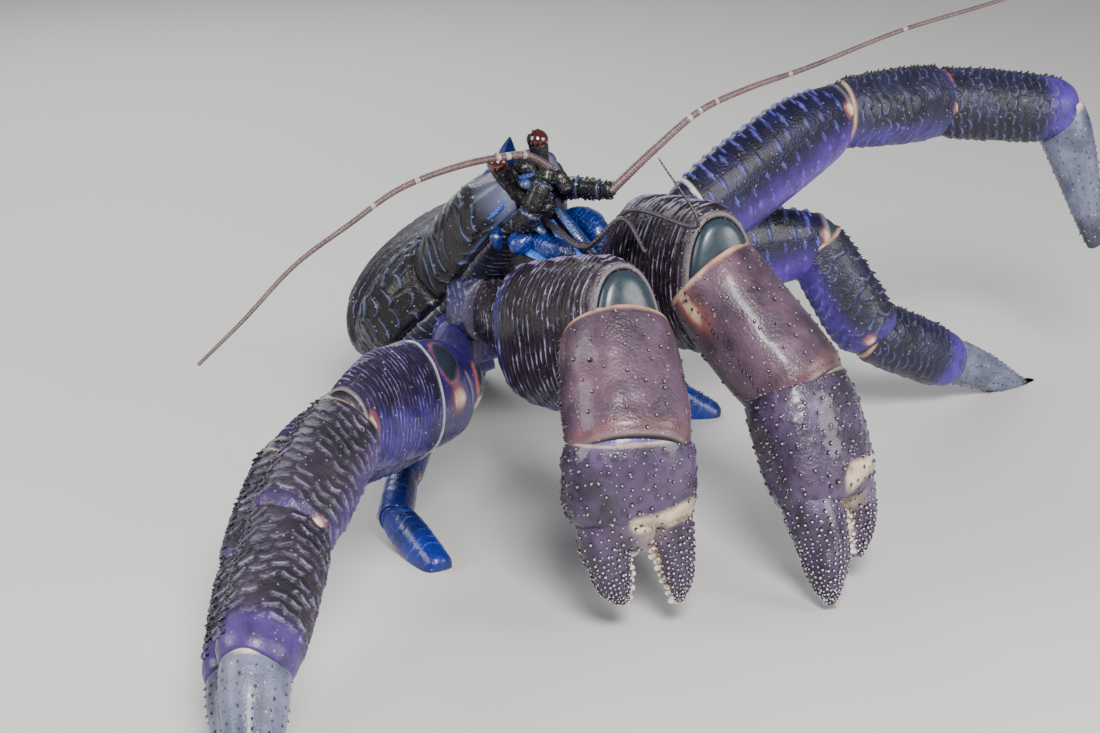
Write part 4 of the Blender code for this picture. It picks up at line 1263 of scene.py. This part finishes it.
def node(tree, kind, **settings):
    """A new node with its settings."""
    made = tree.nodes.new(kind)
    for key, value in settings.items():
        setattr(made, key, value)
    return made


def feed(tree, socket, value):
    """Link another node's output to a socket, or set the socket to a colour or a number."""
    if hasattr(value, "is_linked"):
        tree.links.new(value, socket)
    else:
        socket.default_value = (*value, 1) if isinstance(value, tuple) else value


def math_node(tree, operation, *values, clamp=False):
    """The result of one sum on up to three values."""
    made = node(tree, "ShaderNodeMath", operation=operation, use_clamp=clamp)
    for socket, value in zip(made.inputs, values):
        feed(tree, socket, value)
    return made.outputs[0]


def mix_colour(tree, factor, a, b):
    """Colour a where the factor is 0, and colour b where it is 1."""
    made = node(tree, "ShaderNodeMix", data_type="RGBA")
    for socket, value in ((made.inputs[0], factor), (made.inputs[6], a), (made.inputs[7], b)):
        feed(tree, socket, value)
    return made.outputs[2]


def spread(tree, value, low, high):
    """Stretch a value so that low becomes 0 and high becomes 1."""
    made = node(tree, "ShaderNodeMapRange", clamp=True)
    for socket, given in zip(made.inputs, (value, low, high)):
        feed(tree, socket, given)
    return made.outputs[0]


def mottle_group():
    """Cloudy variation over the shell, at a given scale per metre."""
    group = bpy.data.node_groups.new("Shell mottle", "ShaderNodeTree")
    group_socket(group, "Vector", "NodeSocketVector", "INPUT")
    group_socket(group, "Scale", "NodeSocketFloat", "INPUT", 60.0)
    group_socket(group, "Low", "NodeSocketFloat", "INPUT", 0.4)
    group_socket(group, "High", "NodeSocketFloat", "INPUT", 0.6)
    group_socket(group, "Value", "NodeSocketFloat", "OUTPUT")
    into, out = node(group, "NodeGroupInput"), node(group, "NodeGroupOutput")
    noise = node(group, "ShaderNodeTexNoise")
    noise.inputs["Detail"].default_value = 5.0
    noise.inputs["Roughness"].default_value = 0.6
    for key in ("Vector", "Scale"):
        feed(group, noise.inputs[key], into.outputs[key])
    clouds = spread(group, noise.outputs[0], into.outputs["Low"], into.outputs["High"])
    feed(group, out.inputs["Value"], clouds)
    return group


SPECK_SHARE = 0.38


def grain_group():
    """Fine pits and grains for the bump, and a mask of scattered pale specks."""
    group = bpy.data.node_groups.new("Shell grain", "ShaderNodeTree")
    group_socket(group, "Vector", "NodeSocketVector", "INPUT")
    group_socket(group, "Grain scale", "NodeSocketFloat", "INPUT", 900.0)
    group_socket(group, "Speck scale", "NodeSocketFloat", "INPUT", 420.0)
    group_socket(group, "Speck size", "NodeSocketFloat", "INPUT", 0.16)
    group_socket(group, "Height", "NodeSocketFloat", "OUTPUT")
    group_socket(group, "Specks", "NodeSocketFloat", "OUTPUT")
    into, out = node(group, "NodeGroupInput"), node(group, "NodeGroupOutput")
    cells, dots = (node(group, "ShaderNodeTexVoronoi") for _ in range(2))
    noise = node(group, "ShaderNodeTexNoise")
    noise.inputs["Detail"].default_value = 6.0
    noise.inputs["Scale"].default_value = 340.0
    for texture in (cells, noise, dots):
        feed(group, texture.inputs["Vector"], into.outputs["Vector"])
    feed(group, cells.inputs["Scale"], into.outputs["Grain scale"])
    feed(group, dots.inputs["Scale"], into.outputs["Speck scale"])
    pits = math_node(group, "MULTIPLY", cells.outputs["Distance"], 0.7)
    feed(group, out.inputs["Height"], math_node(group, "SUBTRACT", noise.outputs[0], pits))
    small = math_node(group, "LESS_THAN", dots.outputs["Distance"], into.outputs["Speck size"])
    pick = node(group, "ShaderNodeSeparateColor")
    feed(group, pick.inputs[0], dots.outputs["Color"])
    some = math_node(group, "GREATER_THAN", pick.outputs[0], 1 - SPECK_SHARE)
    feed(group, out.inputs["Specks"], math_node(group, "MULTIPLY", small, some))
    return group


# Mottling: scale per metre, and the noise values that become 0 and 1.
CLOUDS, FINE_MOTTLE, LIGHT_PATCHES = (55.0, 0.35, 0.65), (260.0, 0.3, 0.7), (28.0, 0.52, 0.72)
WORN_PATCHES = (110.0, 0.35, 0.6)
# Where the pale line of a row ends, as shares of the row's width.
LINE_END = (0.88, 0.94)
# The masks that lay a colour over the base, from the lowest up, with their strength, and
# those of them that look worn.
LAYERS = (("tint", 0.9), ("rim", 0.85), ("crest", 1.0), ("dome", 1.0), ("blush", 1.0),
          ("cream", 1.0), ("knob", 1.0), ("tip", 1.0), ("inside", 1.0))
WORN = ("tint", "blush", "cream", "crest")


def base_colour(tree, look, mottle, fine):
    """The mottled shell colour below every mask."""
    colour = mix_colour(tree, mottle(*CLOUDS), look["dark"], look["mid"])
    if "light" in look:
        patch = math_node(tree, "MULTIPLY", mottle(*LIGHT_PATCHES), 0.7)
        colour = mix_colour(tree, patch, colour, look["light"])
    return mix_colour(tree, math_node(tree, "MULTIPLY", fine, 0.35), colour, look["dark"])


def row_lines(tree, look, masks, fine):
    """The thin pale lines near the end of each row of ridges or scales."""
    share = math_node(tree, "FRACT", masks["row"])
    line = math_node(tree, "SUBTRACT", spread(tree, share, *look["line"]),
                     spread(tree, share, *LINE_END), clamp=True)
    line = math_node(tree, "MULTIPLY", line, masks["dash"])
    return math_node(tree, "MULTIPLY", line, spread(tree, fine, -0.2, 0.5))


def lay_masks(tree, look, masks, worn, colour):
    """Lay each mask's own colour over the base."""
    for mask, gain in LAYERS:
        factor = masks[mask]
        if mask in WORN:
            factor = math_node(tree, "MULTIPLY", factor, worn)
        factor = math_node(tree, "MULTIPLY", factor, gain, clamp=True)
        colour = mix_colour(tree, factor, colour, look[mask])
    return colour


def add_specks(tree, look, masks, specks, colour):
    """Scattered pale specks, except on the smooth domes."""
    plain = math_node(tree, "SUBTRACT", 1.0, masks["dome"], clamp=True)
    specks = math_node(tree, "MULTIPLY", specks, look["specks"])
    return mix_colour(tree, math_node(tree, "MULTIPLY", specks, plain), colour, SPECK)


def set_surface(tree, shader, look, masks, fine, height):
    """Roughness, fine bump, coat and shine; domes and smooth parts have less grain."""
    sleek = math_node(tree, "MAXIMUM", masks["dome"],
                      math_node(tree, "MULTIPLY", masks["smooth"], 0.6))
    rough = math_node(tree, "MULTIPLY_ADD", fine, 0.22, look["rough"])
    less = math_node(tree, "MULTIPLY", sleek, 0.08)
    feed(tree, shader.inputs["Roughness"], math_node(tree, "SUBTRACT", rough, less, clamp=True))
    bump = node(tree, "ShaderNodeBump")
    bump.inputs["Distance"].default_value = look["bump"]
    bump.inputs["Strength"].default_value = 0.7
    calm = math_node(tree, "SUBTRACT", 1.0, sleek, clamp=True)
    feed(tree, bump.inputs["Height"], math_node(tree, "MULTIPLY", height, calm))
    feed(tree, shader.inputs["Normal"], bump.outputs[0])
    shader.inputs["Coat Weight"].default_value = look["coat"]
    shader.inputs["Coat Roughness"].default_value = 0.16
    shader.inputs["Specular IOR Level"].default_value = look["shine"]


def make_finish(name, look, groups):
    """A shell material: mottled base, then each mask lays its own colour over it."""
    mat = bpy.data.materials.new("Crab " + name)
    mat.use_nodes = True
    tree = mat.node_tree
    shader = tree.nodes["Principled BSDF"]
    place = node(tree, "ShaderNodeTexCoord").outputs["Object"]
    masks = {mask: node(tree, "ShaderNodeAttribute", attribute_name=mask).outputs["Fac"]
             for mask in MASKS}

    def mottle(*values):
        """Mottling at a scale, with the noise values that become 0 and 1."""
        made = node(tree, "ShaderNodeGroup", node_tree=groups[0])
        for socket, value in zip(made.inputs, (place, *values)):
            feed(tree, socket, value)
        return made.outputs[0]

    grain = node(tree, "ShaderNodeGroup", node_tree=groups[1])
    feed(tree, grain.inputs["Vector"], place)
    fine = mottle(*FINE_MOTTLE)
    colour = base_colour(tree, look, mottle, fine)
    masks["crest"] = math_node(tree, "MAXIMUM", masks["crest"], row_lines(tree, look, masks, fine))
    worn = math_node(tree, "MULTIPLY_ADD", mottle(*WORN_PATCHES), 0.6, 0.4)
    colour = lay_masks(tree, look, masks, worn, colour)
    colour = add_specks(tree, look, masks, grain.outputs["Specks"], colour)
    feed(tree, shader.inputs["Base Color"], colour)
    set_surface(tree, shader, look, masks, fine, grain.outputs["Height"])
    return mat


SPECK = linear(205, 205, 220)
# What each finish has where its own look says nothing else.
DEFAULT_LOOK = {
    "tint": linear(54, 38, 120), "rim": linear(104, 96, 102), "crest": linear(146, 138, 186),
    "dome": linear(36, 46, 56), "blush": linear(168, 98, 70), "cream": linear(214, 190, 160),
    # inside: painted shade in joint openings and the wrist-palm gap, and the own dark tip of each foot.
    # tip: a painted highlight on the tops of knobs, spines and granules, and the own pale colour of teeth
    # and bands.
    "knob": linear(20, 17, 24), "tip": linear(226, 224, 232), "inside": linear(10, 8, 11),
    "rough": 0.30, "coat": 0.35, "shine": 0.4, "specks": 0.5, "bump": 0.0004, "line": (0.72, 0.78),
}


def looks(colours):
    """Every finish of the crab, from the panel's colours."""
    return {
        "shield": {"dark": linear(10, 8, 12), "mid": tuple(colours.shield),
                   "crest": linear(92, 106, 152), "rim": linear(118, 124, 158), "rough": 0.3,
                   "coat": 0.15, "shine": 0.28, "specks": 0.3, "line": (0.80, 0.84)},
        "under": {"dark": linear(16, 14, 24), "mid": linear(34, 28, 50),
                  "crest": linear(110, 120, 180), "tint": linear(64, 58, 150)},
        "tail": {"dark": linear(14, 10, 16), "mid": linear(34, 25, 34),
                 "crest": linear(104, 100, 132), "tint": linear(84, 60, 58), "rough": 0.42,
                 "coat": 0.05, "shine": 0.22},
        "leg": {"dark": linear(16, 12, 24), "mid": tuple(colours.legs),
                "tint": linear(48, 36, 114), "crest": linear(112, 104, 156),
                "specks": 0.35, "coat": 0.2, "line": (0.77, 0.82)},
        "leg_bright": {"dark": linear(9, 8, 22), "mid": linear(24, 19, 62),
                       "tint": tuple(colours.raised_leg), "crest": linear(100, 102, 208),
                       "specks": 0.25, "rough": 0.28, "coat": 0.2, "shine": 0.3},
        "leg_end": {"dark": linear(18, 15, 22), "mid": linear(50, 42, 56),
                    "tint": linear(72, 52, 120), "crest": linear(118, 108, 142),
                    "specks": 0.25, "line": (0.66, 0.80), "coat": 0.1, "rough": 0.36},
        "leg_dark": {"dark": linear(12, 11, 22), "mid": linear(36, 34, 64),
                     "tint": linear(78, 52, 156), "crest": linear(92, 92, 148),
                     "specks": 0.25, "line": (0.70, 0.80), "coat": 0.1, "rough": 0.34},
        "leg_tip": {"dark": linear(66, 70, 92), "mid": linear(118, 122, 146),
                    "blush": linear(204, 180, 156), "coat": 0.2},
        "claw": {"dark": linear(50, 36, 48), "mid": tuple(colours.claws),
                 "light": linear(128, 92, 94), "tint": linear(98, 76, 142),
                 "dome": linear(36, 48, 58), "specks": 0.35, "bump": 0.0003, "coat": 0.2},
        "claw_hand": {"dark": linear(36, 27, 42), "mid": linear(78, 60, 94),
                      "light": linear(104, 84, 128), "tint": linear(90, 70, 146),
                      "specks": 0.4, "bump": 0.0003},
        "claw_arm": {"dark": linear(18, 12, 18), "mid": linear(46, 31, 40),
                     "tint": linear(40, 40, 112), "crest": linear(152, 146, 184),
                     "specks": 0.3, "line": (0.77, 0.82), "coat": 0.15, "shine": 0.32},
        "blue": {"dark": linear(6, 16, 62), "mid": tuple(colours.blue),
                 "crest": linear(40, 78, 190), "rough": 0.28, "coat": 0.3, "specks": 0.2},
        "face_blue": {"dark": linear(3, 9, 36), "mid": linear(6, 36, 116),
                      "crest": linear(34, 92, 196), "rough": 0.22, "coat": 0.4, "specks": 0.1},
        "face_bright": {"dark": linear(14, 52, 130), "mid": linear(44, 96, 200),
                        "crest": linear(120, 160, 236), "rough": 0.2, "coat": 0.6, "specks": 0.1},
        "face_pale": {"dark": linear(38, 52, 96), "mid": linear(96, 116, 168),
                      "rough": 0.24, "coat": 0.6, "specks": 0.2},
        "stalk": {"dark": linear(8, 7, 10), "mid": linear(26, 21, 30), "rough": 0.28, "coat": 0.2,
                  "rim": linear(66, 84, 140), "specks": 0.15},
        "feeler": {"dark": linear(52, 38, 40), "mid": linear(84, 62, 62),
                   "crest": linear(118, 94, 94), "tint": linear(196, 176, 172), "specks": 0.1},
        "feeler_dark": {"dark": linear(26, 20, 28), "mid": linear(60, 44, 62),
                        "specks": 0.1},
        "eye": {"dark": linear(34, 5, 6), "mid": linear(74, 12, 10),
                "rim": linear(16, 6, 8), "specks": 0.0, "rough": 0.04, "coat": 1.0,
                "bump": 0.00005},
    }


def make_finishes(colours):
    """Every finish, kept by name for the pieces."""
    groups = (mottle_group(), grain_group())
    for name, look in looks(colours).items():
        FINISH[name] = make_finish(name, {**DEFAULT_LOOK, **look}, groups)


# Stage

FLOOR_RADIUS, FLOOR_SIDES = 6.0, 96
SENSOR_WIDTH, LENS = 36.0, 90.0
CAMERA_TARGET = Vector((-0.063, 0.0185, 0.074))
CAMERA_DISTANCE, CAMERA_PITCH = 1.1, 18.0
LIGHT_TARGET = Vector((-0.03, 0.0, 0.09))
# Each light: name, place, diameter, share of the key light's power, and colour.
LIGHTS = (("key", (0.12, -1.05, 0.95), 0.45, 1.0, (1, 0.98, 0.95)),
          ("side", (1.0, -0.4, 0.5), 0.6, 0.3, (1, 1, 1)),
          ("left", (-1.0, -0.3, 0.6), 0.6, 0.25, (1, 1, 1)),
          ("back", (-0.4, 1.0, 0.7), 0.8, 0.22, (0.93, 0.96, 1)))
SKY = (0.93, 0.95, 1.0, 1)


def floor_material(colour):
    """A matt material with a faint slow variation."""
    mat = bpy.data.materials.new("Pale floor")
    mat.use_nodes = True
    tree = mat.node_tree
    shader = tree.nodes["Principled BSDF"]
    noise = node(tree, "ShaderNodeTexNoise")
    noise.inputs["Scale"].default_value = 9.0
    darker = tuple(c * 0.94 for c in colour)
    feed(tree, shader.inputs["Base Color"], mix_colour(tree, noise.outputs[0], colour, darker))
    shader.inputs["Roughness"].default_value = 0.6
    return mat


def add_object(name, data):
    """Link a new object with this data to the scene."""
    obj = bpy.data.objects.new(name, data)
    bpy.context.scene.collection.objects.link(obj)
    return obj


def aim(obj, target):
    """Turn a light or camera to face a point."""
    obj.rotation_euler = (target - obj.location).to_track_quat("-Z", "Y").to_euler()


def build_floor(colour):
    """A plain round floor that reaches past the picture."""
    mesh = bpy.data.meshes.new("floor")
    turns = np.arange(FLOOR_SIDES) * 2 * math.pi / FLOOR_SIDES
    rim = [(FLOOR_RADIUS * math.cos(a), FLOOR_RADIUS * math.sin(a), 0) for a in turns]
    mesh.from_pydata(rim, [], [tuple(range(FLOOR_SIDES))])
    mesh.materials.append(floor_material(colour))
    add_object("floor", mesh)


def build_lights(key_watts, fill):
    """Soft round lights, and an even light from all round."""
    world = bpy.data.worlds.new("Studio")
    world.use_nodes = True
    background = world.node_tree.nodes["Background"]
    background.inputs[0].default_value = SKY
    background.inputs[1].default_value = fill
    bpy.context.scene.world = world
    for name, place, size, share, colour in LIGHTS:
        data = bpy.data.lights.new(name, "AREA")
        data.shape, data.size, data.energy, data.color = "DISK", size, key_watts * share, colour
        lamp = add_object(name, data)
        lamp.location = place
        aim(lamp, LIGHT_TARGET)


def build_camera():
    """The camera at the photo's angle."""
    data = bpy.data.cameras.new("camera")
    data.lens, data.sensor_width = LENS, SENSOR_WIDTH
    camera = add_object("camera", data)
    pitch = math.radians(CAMERA_PITCH)
    back = Vector((0, -math.cos(pitch), math.sin(pitch)))
    camera.location = CAMERA_TARGET + CAMERA_DISTANCE * back
    aim(camera, CAMERA_TARGET)
    bpy.context.scene.camera = camera


def build_stage(stage):
    """The floor, the lights and the camera."""
    build_floor(tuple(stage.floor_colour))
    build_lights(stage.key_watts, stage.fill)
    build_camera()


# Add-on

def colour_property(name, text, value):
    """A colour in the panel."""
    return FloatVectorProperty(name=name, description=text, default=value, subtype="COLOR",
                               size=3, min=0, max=1)


class CrabSizes(bpy.types.PropertyGroup):
    """Sizes that the pieces are built with"""
    fineness: FloatProperty(name="Fineness", description="Distance between neighbouring points",
                            default=0.0008, min=0.0005, max=0.004, unit="LENGTH",
                            subtype="DISTANCE")


class CrabColours(bpy.types.PropertyGroup):
    """Main colours of the shell"""
    shield: colour_property("Shields", "Brown-black of the head and back", linear(26, 20, 26))
    legs: colour_property("Walking legs", "Violet of the walking legs", linear(44, 32, 66))
    raised_leg: colour_property("Raised leg", "Bright lower side of the raised leg",
                                linear(84, 46, 160))
    claws: colour_property("Claws", "Mauve of the claws", linear(94, 72, 92))
    blue: colour_property("Blue parts", "Cobalt of the small legs and mouth",
                          linear(10, 40, 140))


class CrabStage(bpy.types.PropertyGroup):
    """Floor colour and light"""
    floor_colour: colour_property("Floor", "Colour of the plain floor", (0.62, 0.61, 0.59))
    key_watts: FloatProperty(name="Key light", description="Power of the main light",
                             default=31.0, min=0, subtype="POWER")
    fill: FloatProperty(name="Fill", description="Strength of the light from all round",
                        default=0.27, min=0)


def piece_operator(idname, label, text, work):
    """An operator class that builds one group of pieces."""
    def execute(self, context):
        work(context.scene)
        return {"FINISHED"}
    return type("CRAB_OT_" + idname.split(".")[1], (bpy.types.Operator,),
                {"bl_idname": idname, "bl_label": label, "__doc__": text, "execute": execute})


OPERATORS = (
    piece_operator("crab.finishes", "Finishes", "Make the shell finishes",
                   lambda scene: make_finishes(scene.crab_colours)),
    piece_operator("crab.body", "Body shell", "Build the shields, the underside and hip rings",
                   lambda scene: build_body(scene.crab_sizes)),
    piece_operator("crab.tail", "Tail", "Build the plated tail",
                   lambda scene: build_tail(scene.crab_sizes)),
    piece_operator("crab.claws", "Claws", "Build both claws",
                   lambda scene: [build_limb(name, scene.crab_sizes) for name in LIMBS
                                  if name.startswith("claw")]),
    piece_operator("crab.legs", "Walking legs", "Build the walking legs and the small blue legs",
                   lambda scene: [build_limb(name, scene.crab_sizes) for name in LIMBS
                                  if name.startswith("leg")]),
    piece_operator("crab.eyes", "Eyes", "Build the eyes and their stalks",
                   lambda scene: build_eyes()),
    piece_operator("crab.antennae", "Antennae", "Build the antenna bases and whips",
                   lambda scene: build_antennae()),
    piece_operator("crab.mouth", "Mouth", "Build the antennules and mouth limbs",
                   lambda scene: build_mouth()),
    piece_operator("crab.face", "Face", "Build the plates and scales of the face",
                   lambda scene: build_face()),
    piece_operator("crab.stage", "Stage", "Build the floor, lights and camera",
                   lambda scene: build_stage(scene.crab_stage)),
)


class CRAB_PT_panel(bpy.types.Panel):
    """The crab's sizes, colours and pieces"""
    bl_label = "Crab"
    bl_idname = "CRAB_PT_panel"
    bl_space_type = "VIEW_3D"
    bl_region_type = "UI"
    bl_category = "Crab"

    def draw(self, context):
        scene, layout = context.scene, self.layout
        for group in (scene.crab_sizes, scene.crab_colours, scene.crab_stage):
            for key in group.__annotations__:
                layout.prop(group, key)
        for operator in OPERATORS:
            layout.operator(operator.bl_idname)


PROPERTY_GROUPS = {"crab_sizes": CrabSizes, "crab_colours": CrabColours, "crab_stage": CrabStage}
CLASSES = (*PROPERTY_GROUPS.values(), *OPERATORS, CRAB_PT_panel)


def register():
    """Add the classes and the crab's settings."""
    for cls in CLASSES:
        bpy.utils.register_class(cls)
    for key, cls in PROPERTY_GROUPS.items():
        setattr(bpy.types.Scene, key, PointerProperty(type=cls))


def unregister():
    """Take away the crab's settings and the classes."""
    for key in PROPERTY_GROUPS:
        delattr(bpy.types.Scene, key)
    for cls in reversed(CLASSES):
        bpy.utils.unregister_class(cls)


def main():
    """Build every piece and the stage, and write the two boxes."""
    register()
    for operator in OPERATORS:
        group, name = operator.bl_idname.split(".")
        getattr(getattr(bpy.ops, group), name)()
    bpy.context.view_layer.update()


if __name__ == "__main__":
    main()
